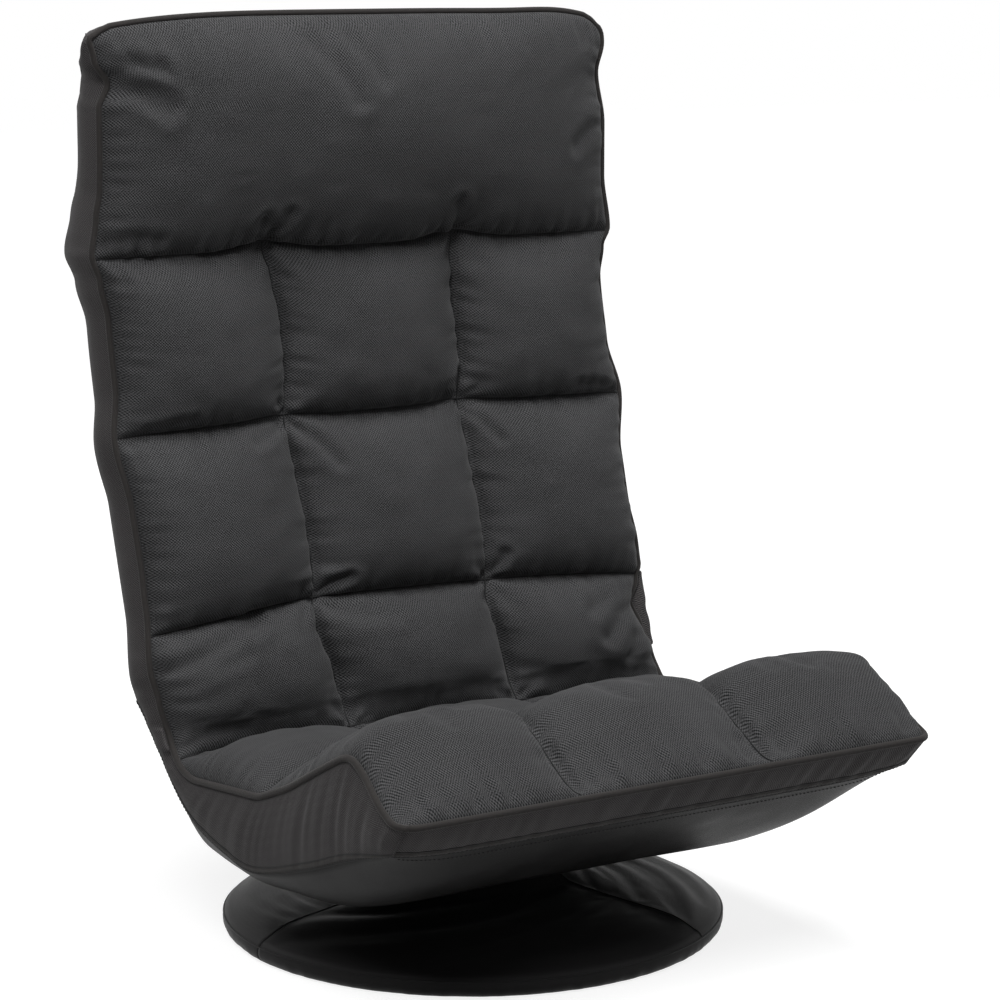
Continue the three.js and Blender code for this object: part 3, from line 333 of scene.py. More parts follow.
def relaxed(start, rest, pinned, pressure, cap, steps=14, bending=0.2):
    """The grid of points after a cloth simulation from start, with the edge lengths of rest."""
    rows, columns = start.shape[:2]
    obj = make("cloth_in_work", start, grid_faces(rows, columns))
    obj.shape_key_add(name="start")
    key = obj.shape_key_add(name="rest")
    key.data.foreach_set("co", np.asarray(rest, np.float32).ravel())
    group = obj.vertex_groups.new(name="pinned")
    group.add(np.flatnonzero(pinned.ravel()).tolist(), 1, "REPLACE")
    cloth = obj.modifiers.new("cloth", "CLOTH")
    settings = cloth.settings
    settings.vertex_group_mass = "pinned"
    settings.rest_shape_key = key
    settings.use_pressure = True
    settings.uniform_pressure_force = pressure
    settings.effector_weights.gravity = 0.0
    settings.quality = 5
    settings.tension_stiffness = CLOTH_STIFFNESS
    settings.compression_stiffness = CLOTH_STIFFNESS
    settings.shear_stiffness = CLOTH_STIFFNESS / 3
    settings.bending_stiffness = bending
    settings.air_damping = 1
    cloth.collision_settings.use_collision = False
    cloth.collision_settings.use_self_collision = False
    cloth.point_cache.frame_start = 1
    cloth.point_cache.frame_end = steps
    for step in range(1, steps + 1):
        bpy.context.scene.frame_set(step)
    solved = obj.evaluated_get(bpy.context.evaluated_depsgraph_get()).data
    out = np.zeros(rows * columns * 3, np.float32)
    solved.vertices.foreach_get("co", out)
    bpy.data.objects.remove(obj)
    bpy.context.scene.frame_set(1)
    move = out.reshape(start.shape).astype(float) - start
    size = np.linalg.norm(move, axis=-1, keepdims=True)
    return start + move * np.minimum(1, cap / np.maximum(size, 1e-9))


def halved(grid, breaks):
    """Twice as many rows, with the new ones on a smooth line; a seam row stays a crease."""
    parts = []
    for first, last in zip(breaks[:-1], breaks[1:]):
        part = grid[first : last + 1]
        before = np.concatenate([2 * part[:1] - part[1:2], part[:-2]])
        after = np.concatenate([part[2:], 2 * part[-1:] - part[-2:-1]])
        middle = (9 * (part[:-1] + part[1:]) - before - after) / 16
        both = np.empty((2 * len(part) - 1, *part.shape[1:]))
        both[0::2] = part
        both[1::2] = middle
        parts.append(both if first == breaks[0] else both[1:])
    return np.concatenate(parts)


def finer(grid, row_breaks, column_breaks):
    rows = halved(grid, row_breaks)
    return halved(rows.swapaxes(0, 1), column_breaks).swapaxes(0, 1)


def stops(edges, step):
    """Stops along a cloth with one exactly on each seam, and the indices of the seams."""
    out, breaks = [edges[0]], [0]
    for a, b in zip(edges[:-1], edges[1:]):
        count = max(2, round(abs(b - a) / step))
        out += [mix(a, b, k / count) for k in range(1, count + 1)]
        breaks.append(len(out) - 1)
    return np.array(out), breaks


def ripple(points, size, seed):
    """Smooth noise for each point, from -1 to 1."""
    flat = np.asarray(points).reshape(-1, 3) / size
    shift = Vector((seed * 7.3, seed * 3.1, seed * 1.7))
    values = [noise.noise(Vector(p) + shift) for p in flat]
    return np.array(values).reshape(np.asarray(points).shape[:-1])


def folds(along, across, pitch, reach, seed):
    """Noise drawn out into ridges that run across a seam, pitch apart along it."""
    along, across = np.broadcast_arrays(along, across)
    return ripple(np.stack([along / pitch, across / reach, 0 * along], -1), 1, seed)


def near_seam(distance, peak):
    """0 on a seam, 1 at the peak distance from it, and fading beyond."""
    return distance / peak * np.exp(1 - distance / peak)


def normals(grid):
    across = np.gradient(grid, axis=1)
    along = np.gradient(grid, axis=0)
    out = np.cross(across, along)
    return out / np.maximum(np.linalg.norm(out, axis=-1, keepdims=True), 1e-12)


def line_distance(x, v, points):
    """How far each point of the cloth is from a line through the points, given in millimetres."""
    points = np.array(points) * MM
    best = np.full(x.shape, 1.0)
    for a, b in zip(points[:-1], points[1:]):
        way = b - a
        at = unit(((x - a[0]) * way[0] + (v - a[1]) * way[1]) / (way @ way))
        best = np.minimum(best, np.hypot(x - a[0] - at * way[0], v - a[1] - at * way[1]))
    return best


# Padding


PILLOW_FLATNESS = 2.9
PILLOW_FULLNESS = 0.6


def pillow(at, edges):
    """Rises from 0 at the seams to 1 in the middle of each pillow."""
    out = np.zeros_like(at)
    for a, b in zip(edges[:-1], edges[1:]):
        across = np.abs(2 * (at - a) / (b - a) - 1)
        inside = across <= 1 + 1e-9
        rise = (1 - np.minimum(across, 1) ** PILLOW_FLATNESS) ** PILLOW_FULLNESS
        out = np.where(inside, rise, out)
    return out


# The bolster's right end swells out over its piping
SWELL = 26 * MM
SWELL_REACH = 34 * MM
SWELL_PLACE = -420 * MM
# How high the cover starts off the cushion line at its edge and at its inner seams
EDGE_HEIGHT = 1 * MM
SEAM_HEIGHT = 3 * MM
EDGE_REACH = 30 * MM
# The share of its height that a pillow starts with, and the unevenness that the pressure grows
START_SHARE = 0.86
START_RIPPLE = 1.5 * MM
START_RIPPLE_SIZE = 24 * MM
PAD_PRESSURE = 5
PAD_STEPS = 22
PAD_CAP = 16 * MM


def tufted(columns, rows, crown, gather, seed):
    """The relaxed top of a padded cover between its seams, and its cloth coordinates."""
    xs, x_breaks = stops(columns, CLOTH_STEP)
    vs, v_breaks = stops(rows, CLOTH_STEP)
    v, x = np.meshgrid(vs, xs, indexing="ij")
    lift = pillow(x, columns) * pillow(v, rows)
    border = np.minimum(1, np.minimum(x - xs[0], xs[-1] - x) / EDGE_REACH)
    base = mix(EDGE_HEIGHT, SEAM_HEIGHT, border)
    start = surface(x, v, base + (START_SHARE * crown(v) - base) * lift)
    uneven = START_RIPPLE * ripple(start, START_RIPPLE_SIZE, seed) * lift
    start = start + off_line(v) * uneven[..., None]
    at_end = bump(x - xs[-1], SWELL_REACH)
    start[..., 0] += SWELL * lift * at_end * bump(v - SWELL_PLACE, 2 * SWELL_REACH)
    rest = np.stack([x * gather[0], v * gather[1], 0 * x], -1)
    pinned = pins(x.shape, v_breaks, x_breaks)
    top = relaxed(start, rest, pinned, PAD_PRESSURE, PAD_CAP, steps=PAD_STEPS)
    top = finer(top, v_breaks, x_breaks)
    coords = finer(np.stack([x, v, 0 * x], -1), v_breaks, x_breaks)
    return top, coords


SAG_FADE = 60 * MM
SAG_FREE = 3 * MM


def sagged(top, coords, share):
    """The filling hangs down the back over the seam below it."""
    v = coords[..., 1]
    floor = surface(coords[..., 0], v, 0)
    height = ((top - floor) * off_line(v)).sum(-1)
    fade = unit((v - CREASE_SEAM) / SAG_FADE)
    return top - along_line(v) * (share * fade * np.clip(height - SAG_FREE, 0, None))[..., None]


def closed_piece(name, top, floor, coords):
    """Closes a grid with a floor of the same size and a wall round the edge."""
    rows, columns = top.shape[:2]
    size = rows * columns
    at = np.arange(size).reshape(rows, columns)
    rim = np.concatenate([at[0, :-1], at[:-1, -1], at[-1, :0:-1], at[:0:-1, 0]]).tolist()
    faces = grid_faces(rows, columns) + grid_faces(rows, columns, first=size, flip=True)
    faces += [[b, a, a + size, b + size] for a, b in zip(rim, rim[1:] + rim[:1])]
    points = np.concatenate([top.reshape(-1, 3), floor.reshape(-1, 3)])
    return make(name, points, faces, np.tile(coords.reshape(-1, 3), (2, 1)))


def padded_piece(name, top, coords):
    """Closes the relaxed top with a floor on the cushion line."""
    return closed_piece(name, top, surface(coords[..., 0], coords[..., 1], PAD_FLOOR), coords)


FOAM_HALF_WIDTH = 265 * MM
FOAM_FOOT = 20 * MM
FOAM_TOP = BACK_LENGTH - 8 * MM
FOAM_FRONT = -1.8 * MM
FOAM_REAR = -39 * MM
# The foot of the foam stands back, so that the chair can fold forward
FOAM_FOOT_BACK = 10 * MM
FOAM_FOOT_REACH = 45 * MM


def back_foam():
    """The foam of the back, drawn in at its top corners as its cover is."""
    up = np.linspace(FOAM_FOOT, FOAM_TOP, 90)
    v, x = np.meshgrid(up, np.linspace(-FOAM_HALF_WIDTH, FOAM_HALF_WIDTH, 50), indexing="ij")
    at_foot = 1 - unit((v - FOAM_FOOT) / FOAM_FOOT_REACH)
    front = rear_surface(x, v, FOAM_FRONT - FOAM_FOOT_BACK * at_foot, np.minimum)
    rear = rear_surface(x, v, FOAM_REAR, np.minimum)
    return closed_piece("back_filling", front, rear, np.stack([x, v, 0 * x], -1))


back_filling = back_foam()


PUCKER_PITCH = 10 * MM
PUCKER_REACH = 60 * MM
PUCKER_PEAK = 8 * MM
COLUMN_PUCKER = 2.4 * MM
ROW_PUCKER = 2.6 * MM
FRONT_PUCKER = 5 * MM
STAR_ARMS = 6
STAR_DEPTH = 1.6 * MM
STAR_PEAK = 11 * MM
DIMPLE_DEPTH = 2.5 * MM
DIMPLE_WIDTH = 9 * MM
SLOW_RIPPLE = 0.5 * MM
SLOW_RIPPLE_SIZE = 35 * MM
DEEPEST_FOLD = 5 * MM
HIGHEST_FOLD = 3 * MM
LEAST_HEIGHT = 0.8 * MM
SEWN_REACH = 4 * MM
# Single folds in the cover: (points as x and v, depth, half width), in millimetres
BODY_FOLDS = [
    ([(-266, 2), (-215, 17), (-165, 30)], 4.5, 6),
    ([(-266, -12), (-225, 2), (-190, 8)], 2.5, 6),
    ([(-97, 37), (-84, 47), (-68, 53)], 4, 4.5),
    ([(-97, 30), (-60, 20), (-30, 17)], 2, 6),
    ([(97, 36), (108, 48), (112, 60)], 3.5, 4.5),
    ([(95, 218), (90, 234), (91, 242)], 4, 4),
    ([(97, 210), (112, 196), (122, 176)], 2.5, 5),
    ([(-97, 212), (-118, 200), (-140, 196)], 2.5, 5),
    ([(-97, 208), (-75, 190), (-62, 168)], 2.5, 6),
    ([(264, 8), (232, 0), (205, -22)], 3.5, 7),
    ([(266, 22), (236, 18), (200, 8)], 2.5, 7),
    ([(265, -8), (242, -24), (226, -48)], 3, 7),
    ([(-262, -70), (-235, -66), (-205, -70)], 1.5, 6),
    ([(-262, 210), (-235, 222), (-205, 226)], 2, 5),
    ([(262, 216), (236, 226), (215, 228)], 2.5, 5),
    ([(-97, -236), (-100, -255), (-96, -275)], 2.5, 5),
    ([(97, -236), (100, -262), (96, -285)], 2.5, 5),
    ([(-97, -458), (-97, -435), (-97, -420)], 3, 5),
    ([(97, -458), (97, -435), (97, -420)], 3, 5),
]
HEAD_FOLDS = [
    ([(-98, 378), (-103, 392), (-112, 402)], 4, 6),
    ([(-98, 378), (-88, 396), (-86, 408)], 3, 5),
    ([(97, 378), (96, 394), (90, 410)], 3.5, 6),
    ([(-264, 390), (-240, 396), (-215, 392)], 2.5, 6),
    ([(-60, 560), (-42, 538), (-28, 512)], 2, 7),
    ([(-20, 560), (-8, 545), (2, 528)], 1.5, 6),
    ([(-262, 528), (-238, 522), (-214, 508)], 3, 7),
    ([(-262, 540), (-240, 546), (-216, 542)], 2.5, 6),
    ([(262, 480), (240, 474), (222, 462)], 2.5, 7),
]


def puckered(top, coords, columns, rows, crossings, single_folds, seed):
    """Works the small folds of the gathered cloth into the relaxed cover."""
    x, v = coords[..., 0], coords[..., 1]
    push = np.zeros_like(x)
    for k, seam in enumerate(columns):
        away = np.abs(x - seam)
        ridges = folds(v, away, PUCKER_PITCH, PUCKER_REACH, seed + k)
        push += COLUMN_PUCKER * ridges * near_seam(away, PUCKER_PEAK)
    for k, seam in enumerate(rows):
        away = np.abs(v - seam)
        size = FRONT_PUCKER if seam == rows[0] else ROW_PUCKER
        ridges = folds(x, away, PUCKER_PITCH, PUCKER_REACH, seed + 9 + k)
        push += size * ridges * near_seam(away, PUCKER_PEAK)
    for k, (across, up) in enumerate(crossings):
        away = np.hypot(x - across, v - up)
        arms = np.cos(STAR_ARMS * np.arctan2(v - up, x - across) + 3 * k)
        push += STAR_DEPTH * arms * near_seam(away, STAR_PEAK) - DIMPLE_DEPTH * bump(away, DIMPLE_WIDTH)
    for points, depth, width in single_folds:
        away = line_distance(x, v, points)
        valley = bump(away, width * MM) - 0.45 * bump(away - 2.1 * width * MM, width * MM)
        push -= depth * MM * valley
    push += SLOW_RIPPLE * ripple(top, SLOW_RIPPLE_SIZE, seed + 30)
    from_rows = [np.abs(v - row) for row in rows]
    edge = np.minimum.reduce(from_rows + [np.abs(x - column) for column in columns])
    height = ((top - surface(x, v, 0)) * off_line(v)).sum(-1)
    push = np.clip(push, np.maximum(-DEEPEST_FOLD, LEAST_HEIGHT - height), HIGHEST_FOLD)
    push = push * unit(edge / SEWN_REACH)
    return top + normals(top) * push[..., None]


COLUMNS = [-PAD_HALF_WIDTH, -COLUMN_SEAM, COLUMN_SEAM, PAD_HALF_WIDTH]
BODY_ROWS = [-SEAT_LENGTH + 2 * MM, BOLSTER_SEAM, CREASE_SEAM, LOWER_SEAM, UPPER_SEAM, HEAD_SEAM]
HEAD_COLUMNS = [-PAD_HALF_WIDTH, PAD_HALF_WIDTH]
HEAD_ROWS = [HEAD_SEAM, BACK_LENGTH - 2 * MM]
# How much wider and longer each cover is cut than the room between its seams
BODY_GATHER = (1.1, 1.1)
HEAD_GATHER = (1.04, 1.14)
BODY_SAG = 0.28
HEAD_SAG = 0.24
# How high the pillows stand, and how the lumbar row is lower by the crease
BOLSTER_CROWN = 35 * MM
BODY_CROWN = 42 * MM
HEAD_CROWN = 50 * MM
LUMBAR_DIP = 0.32
LUMBAR_DIP_PLACE = -74 * MM
LUMBAR_DIP_WIDTH = 28 * MM


def body_crown(v):
    dip = LUMBAR_DIP * bump(v - LUMBAR_DIP_PLACE, LUMBAR_DIP_WIDTH)
    return np.where(v < BOLSTER_SEAM, BOLSTER_CROWN, BODY_CROWN) * (1 - dip)


def head_crown(v):
    return HEAD_CROWN + 0 * v


body_top, body_coords = tufted(COLUMNS, BODY_ROWS, body_crown, BODY_GATHER, 1)
body_top = sagged(body_top, body_coords, BODY_SAG)
body_crossings = [(side * COLUMN_SEAM, row) for side in (-1, 1) for row in BODY_ROWS[1:]]
body_top = puckered(body_top, body_coords, COLUMNS, BODY_ROWS, body_crossings, BODY_FOLDS, 20)
head_top, head_coords = tufted(HEAD_COLUMNS, HEAD_ROWS, head_crown, HEAD_GATHER, 2)
head_top = sagged(head_top, head_coords, HEAD_SAG)
head_crossings = [(-COLUMN_SEAM, HEAD_SEAM), (COLUMN_SEAM, HEAD_SEAM)]
head_top = puckered(head_top, head_coords, HEAD_COLUMNS, HEAD_ROWS, head_crossings, HEAD_FOLDS, 50)


def nearest(values, at):
    return int(np.argmin(np.abs(values - at)))


crease_row = nearest(body_coords[:, 0, 1], CREASE_SEAM)
lower_row = nearest(body_coords[:, 0, 1], LOWER_SEAM)


def body_piece(name, rows):
    """One stretch of the body cover, from seam row to seam row."""
    return padded_piece(name, body_top[rows], body_coords[rows])


seat_cushion = body_piece("seat_cushion", slice(None, crease_row + 1))
lumbar_cushion = body_piece("lumbar_cushion", slice(crease_row, lower_row + 1))
back_cushion = body_piece("back_cushion", slice(lower_row, None))
headrest_cushion = padded_piece("headrest_cushion", head_top, head_coords)

# Piping round the whole cushion


def round_cord(path, radius, sides, closed):
    """Points, faces and cloth coordinates of a round cord along a path."""
    path = np.asarray(path, float)
    ahead = np.roll(path, -1, 0) - np.roll(path, 1, 0)
    if not closed:
        ahead[0] = path[1] - path[0]
        ahead[-1] = path[-1] - path[-2]
    ahead /= np.linalg.norm(ahead, axis=1, keepdims=True)
    across = np.cross(ahead[0], [0.3, 0.5, 0.8])
    turn = np.linspace(0, 2 * np.pi, sides, endpoint=False)[:, None]
    rings = []
    for middle, way in zip(path, ahead):
        across = across - way * (across @ way)
        across = across / np.linalg.norm(across)
        rings.append(middle + radius * (np.cos(turn) * across + np.sin(turn) * np.cross(way, across)))
    count = len(path)
    around = np.tile(turn[:, 0] * radius, count)
    coords = np.stack([around, np.repeat(run_along(path), sides), 0 * around], 1)
    faces = []
    for i in range(count if closed else count - 1):
        a, b = i * sides, ((i + 1) % count) * sides
        faces += [[a + k, a + (k + 1) % sides, b + (k + 1) % sides, b + k] for k in range(sides)]
    if not closed:
        faces.append(list(range(sides))[::-1])
        faces.append([(count - 1) * sides + k for k in range(sides)])
    return np.concatenate(rings), faces, coords


def cords(name, paths, radius, sides=6, closed=False):
    """One object of round cords along the paths."""
    points, faces, coords = [], [], []
    for path in paths:
        first = sum(len(p) for p in points)
        some_points, some_faces, some_coords = round_cord(path, radius, sides, closed)
        points.append(some_points)
        coords.append(some_coords)
        faces += [[first + k for k in face] for face in some_faces]
    return make(name, np.concatenate(points), faces, np.concatenate(coords))


PIPING_STEP = 4 * MM
# The boxing is sewn in a little below the middle of the piping
BOXING_SEAM = -0.7 * PIPING_RADIUS


def edge_side(start, end):
    """The sewn edge along one side of the cushion, as x and v."""
    count = round(math.dist(start, end) / PIPING_STEP)
    return np.linspace(start, end, count).T


FRONT_LEFT = (-EDGE_HALF_WIDTH, -SEAT_LENGTH)
TOP_LEFT = (-EDGE_HALF_WIDTH, BACK_LENGTH)
TOP_RIGHT = (EDGE_HALF_WIDTH, BACK_LENGTH)
FRONT_RIGHT = (EDGE_HALF_WIDTH, -SEAT_LENGTH)
left_edge = edge_side(FRONT_LEFT, TOP_LEFT)
top_edge = edge_side(TOP_LEFT, TOP_RIGHT)
right_edge = edge_side(TOP_RIGHT, FRONT_RIGHT)
front_edge = edge_side(FRONT_RIGHT, FRONT_LEFT)
edge_loop = np.concatenate([side[:, :-1] for side in (left_edge, top_edge, right_edge, front_edge)], 1)
piping = cords("piping", [surface(edge_loop[0], edge_loop[1], 0)], PIPING_RADIUS, sides=12, closed=True)

# Side, front and top boxing and the rear cover

SIDE_SEAM_LOW = (-66 * MM, 105 * MM)
FRONT_SEAM = (-289 * MM, 166 * MM)
SIDE_FRONT_RISE = 6 * MM
SLING_FLOOR = 73.6 * MM
SLING_FLOOR_REAR = 58 * MM
SLING_FLOOR_FRONT = -62 * MM
SLING_FLAT = 170 * MM
SLING_HALF_WIDTH = 267.6 * MM
SLING_HOLE = 93 * MM

SIDE_REAR_SHARES = [[0, 0], [0.18, 0.35], [0.36, 0.68], [0.5, 0.83], [0.735, 0.95], [1, 1]]
SIDE_FRONT_SHARES = [[0.377, 0.33], [0.726, 0.74], [1, 1]]
MIDDLE_REAR_SHARES = [[0, 0], [0.136, 0.4], [0.318, 0.732], [0.6, 0.955], [1, 1]]
MIDDLE_FRONT_SHARES = [[0, 0], [0.366, 0.08], [0.718, 0.475], [1, 1]]


def side_lift(x):
    """How far the sling has turned from its middle line, 0, to its side seam, 1."""
    return unit((np.abs(x) - SLING_FLAT) / (SLING_HALF_WIDTH - SLING_FLAT)) ** 3


def along_shares(shares, start, end):
    return [(mix(start[0], end[0], a), mix(start[1], end[1], b)) for a, b in shares]


sling_rear = tuple(place(0, -HINGE_HALF_GAP, -BOXING_DEPTH)[1:])
side_front = (FRONT_SEAM[0], FRONT_SEAM[1] + SIDE_FRONT_RISE)
floor_rear = (SLING_FLOOR_REAR, SLING_FLOOR)
floor_front = (SLING_FLOOR_FRONT, SLING_FLOOR)
SIDE_SEAM = [
    *along_shares(SIDE_REAR_SHARES, sling_rear, SIDE_SEAM_LOW),
    *along_shares(SIDE_FRONT_SHARES, SIDE_SEAM_LOW, side_front),
]
MIDDLE_LINE = [
    *along_shares(MIDDLE_REAR_SHARES, sling_rear, floor_rear),
    *along_shares(MIDDLE_FRONT_SHARES, floor_front, FRONT_SEAM),
]


COVER_THICKNESS = 1.6 * MM
COVER_STEP = 4 * MM
ELBOW = 0.85
GATHER_PITCH = 11 * MM
SIDE_GATHER = 1.06
END_GATHER = 1.04
# How deep the gathers of the side boxing are: (u, depth), in millimetres
GATHERS = [
    (-470, 0.6), (-430, 1.8), (-385, 2.4), (-330, 1.5), (-240, 1.6), (-120, 1.0), (-60, 1.6), (-20, 2.6),
    (5, 2.4), (40, 0.6), (340, 0.5), (378, 1.6), (420, 0.6), (520, 0.6), (545, 1.6), (577, 0.8),
]


def gathered(name, lower, elbow, upper, out, gathers, gather, pressure, bulge, seed, cap):
    """A cover strip sewn along both edges, with more cloth than the seams are long."""
    rows = len(lower)
    width = np.linalg.norm(upper - lower, axis=1)
    across = max(9, round(width.max() / COVER_STEP) + 1)
    share = np.linspace(0, 1, across)
    run = run_along(mix(lower, upper, 0.5))
    ends = unit(np.minimum(np.arange(rows), rows - 1 - np.arange(rows)) / 4)
    swell = np.sin(np.pi * share)[None] * ends[:, None]
    ridges = folds(run[:, None], share[None], GATHER_PITCH, 2.5, seed) * gathers[:, None]
    low_part = unit(share / ELBOW)[None, :, None]
    high_part = unit((share - ELBOW) / (1 - ELBOW))[None, :, None]
    start = mix(mix(lower[:, None], elbow[:, None], low_part), upper[:, None], high_part)
    start = start + out[:, None] * ((bulge * swell) + ridges * swell**0.5)[..., None]
    rest = np.stack([
        np.repeat(run[:, None] * gather, across, 1),
        (share[None] - 0.5) * width[:, None] * 1.01,
        np.zeros((rows, across)),
    ], -1)
    pinned = pins((rows, across), [0, -1], [0, -1])
    facing = np.sign((normals(start) * out[:, None]).sum())
    sheet = relaxed(start, rest, pinned, pressure * facing, cap, steps=16, bending=0.1)
    breaks = [0, rows - 1], [0, across - 1]
    sheet = finer(sheet, *breaks)
    obj = make(name, sheet, grid_faces(*sheet.shape[:2], flip=facing < 0), finer(rest, *breaks))
    thicken(obj, COVER_THICKNESS)
    return obj, sheet


def thicken(obj, thickness):
    wall = obj.modifiers.new("thickness", "SOLIDIFY")
    wall.thickness = thickness
    wall.offset = -1


def side_boxing(name, side, edge):
    """Both edges run from the front seam up to the top of the back."""
    x, v = edge if side < 0 else edge[:, ::-1]
    upper = surface(x, v, BOXING_SEAM)
    low_v = np.interp(v, [v[0], v[-1]], [-SEAT_LENGTH, BACK_LENGTH])
    lower = rear_surface(np.full(len(v), side * EDGE_HALF_WIDTH), low_v, -BOXING_DEPTH)
    seam = spline(SIDE_SEAM, 400)
    seat = low_v < -HINGE_HALF_GAP
    share = (-HINGE_HALF_GAP - low_v[seat]) / (SEAT_LENGTH - HINGE_HALF_GAP)
    at = share * (len(seam) - 1)
    lower[seat, 1] = np.interp(at, np.arange(len(seam)), seam[:, 0])
    lower[seat, 2] = np.interp(at, np.arange(len(seam)), seam[:, 1])
    lower[seat, 0] = mix(lower[seat, 0], side * SLING_HALF_WIDTH, unit(share * 4))
    elbow = mix(lower, upper, ELBOW)
    drawn_in = side * upper[:, 0] < EDGE_HALF_WIDTH - 2 * MM
    over_foam = surface(x, v, 0.5 * MM)
    over_foam[:, 0] = side * (EDGE_HALF_WIDTH + 1 * MM)
    on_seat = drawn_in & (np.abs(v) < 0.9 * SEAT_LENGTH)
    elbow = np.where(on_seat[:, None], over_foam, elbow)
    out = np.tile([float(side), 0, 0], (len(v), 1))
    gathers = wave(GATHERS, low_v)
    obj, sheet = gathered(name, lower, elbow, upper, out, gathers, SIDE_GATHER, 3, 5 * MM, 4 + side, 7 * MM)
    return obj, sheet, int(seat.sum())


left_boxing, left_sheet, left_seat_rows = side_boxing("side_boxing_left", -1, left_edge)
right_boxing, right_sheet, right_seat_rows = side_boxing("side_boxing_right", 1, right_edge)


def end_boxing(name, edge, lower, out, gathers, seed):
    """The boxing between the two sides, at the front of the seat or the top of the back."""
    upper = surface(edge[0], edge[1], BOXING_SEAM)
    out = np.tile(out, (len(upper), 1))
    gathers = np.full(len(upper), gathers)
    elbow = mix(lower, upper, ELBOW)
    return gathered(name, lower, elbow, upper, out, gathers, END_GATHER, 2, 2 * MM, seed, 4 * MM)


front_x = np.linspace(left_sheet[0, 0, 0], right_sheet[0, 0, 0], front_edge.shape[1])
front_lift = side_lift(front_x)
front_lower = np.stack(
    [front_x, np.full(len(front_x), FRONT_SEAM[0]), FRONT_SEAM[1] + SIDE_FRONT_RISE * front_lift], 1
)
front_boxing, front_sheet = end_boxing(
    "front_boxing", front_edge[:, ::-1], front_lower, [0.0, -1.0, 0.0], 2.2 * MM, 9
)
top_x = np.linspace(-EDGE_HALF_WIDTH, EDGE_HALF_WIDTH, top_edge.shape[1])
top_lower = rear_surface(top_x, np.full(len(top_x), BACK_LENGTH), -BOXING_DEPTH)
top_boxing = end_boxing("top_boxing", top_edge, top_lower, [0.0, 0.0, 1.0], 1 * MM, 11)[0]

REAR_STEP = 8 * MM
REAR_CUT = 1.02


def rear_panel():
    """The plain cover over the back, drawn over its foam."""
    rows = round((BACK_LENGTH + HINGE_HALF_GAP) / REAR_STEP)
    columns = round(2 * EDGE_HALF_WIDTH / REAR_STEP)
    up = np.linspace(-HINGE_HALF_GAP, BACK_LENGTH, rows)
    v, x = np.meshgrid(up, np.linspace(-EDGE_HALF_WIDTH, EDGE_HALF_WIDTH, columns), indexing="ij")
    in_side = unit((EDGE_HALF_WIDTH - np.abs(x)) / (60 * MM)) ** 0.6
    in_foot = unit((v + HINGE_HALF_GAP) / (50 * MM))
    in_top = unit((BACK_LENGTH - v) / (40 * MM)) ** 0.6
    inside = in_side * in_foot * in_top
    start = rear_surface(x, v, -BOXING_DEPTH - 5 * MM * inside)
    start = start - off_line(v) * (ripple(start, 60 * MM, 13) * 3 * MM * inside)[..., None]
    pinned = pins(x.shape, [0, -1], [0, -1])
    flat = np.stack([x, v, 0 * x], -1)
    panel = relaxed(start, flat * REAR_CUT, pinned, -1, 6 * MM)
    sunk = ((panel - rear_surface(x, v, -BOXING_DEPTH)) * off_line(v)).sum(-1)
    panel = panel - off_line(v) * np.clip(sunk, 0, None)[..., None]
    breaks = [0, rows - 1], [0, columns - 1]
    panel = finer(panel, *breaks)
    obj = make("rear_cover", panel, grid_faces(*panel.shape[:2], flip=True), finer(flat, *breaks))
    thicken(obj, COVER_THICKNESS)
    return obj


rear_cover = rear_panel()

# Sewn seams: stitches, corner seams and the binding over the lower seam

THREAD = 0.6 * MM
STITCH = 2.8 * MM
STITCH_GAP = 1.5 * MM


def stitches(name, lines):
    """Short threads along the lines, each a spindle that stands half out of the cloth."""
    points, faces = [], []
    for line in lines:
        line = np.asarray(line)
        length = np.linalg.norm(np.diff(line, axis=0), axis=1).sum()
        count = max(2, round(length / (STITCH + STITCH_GAP)))
        places = respaced(line, 4 * count + 1)
        for k in range(count):
            a, b = places[4 * k], places[4 * k + 3]
            way = (b - a) / np.linalg.norm(b - a)
            across = np.cross(way, [0.31, 0.52, 0.79])
            across = THREAD * across / np.linalg.norm(across)
            up = np.cross(way, across)
            first = len(points)
            middle = (a + b) / 2
            points += [a, b, middle + across, middle + up, middle - across, middle - up]
            for j in range(4):
                faces.append([first, first + 2 + (j + 1) % 4, first + 2 + j])
                faces.append([first + 1, first + 2 + j, first + 2 + (j + 1) % 4])
    points = np.array(points)
    return make(name, points, faces, points)


TUFT_LIFT = 0.3 * MM


def tuft_lines():
    """The inner seams of the body cover, a little above it."""
    raised = body_top + off_line(body_coords[..., 1]) * TUFT_LIFT
    rows = [raised[nearest(body_coords[:, 0, 1], row)] for row in BODY_ROWS[1:-1]]
    columns = [raised[:, nearest(body_coords[0, :, 0], side * COLUMN_SEAM)] for side in (-1, 1)]
    return rows + columns + [raised[-1]]


# A dark cord in the thread's colour along each inner seam of the body cover: partly the seam line itself,
# partly painted shade that stands in for the depth of the seam valleys
TUFT_SEAM_AND_SHADE_RADIUS = 0.8 * MM
tuft_stitches = stitches("tuft_stitches", tuft_lines())
tuft_seams_and_painted_shade = cords("tuft_seams_and_painted_shade", tuft_lines(), TUFT_SEAM_AND_SHADE_RADIUS)

BINDING_PROUD = 1.1 * MM
BINDING_SHARES = np.array([0.1, 0.85, 1, 0.85, 0.1])
BINDING_COLUMNS = len(BINDING_SHARES)
HEM_SEAM_RADIUS = 0.6 * MM


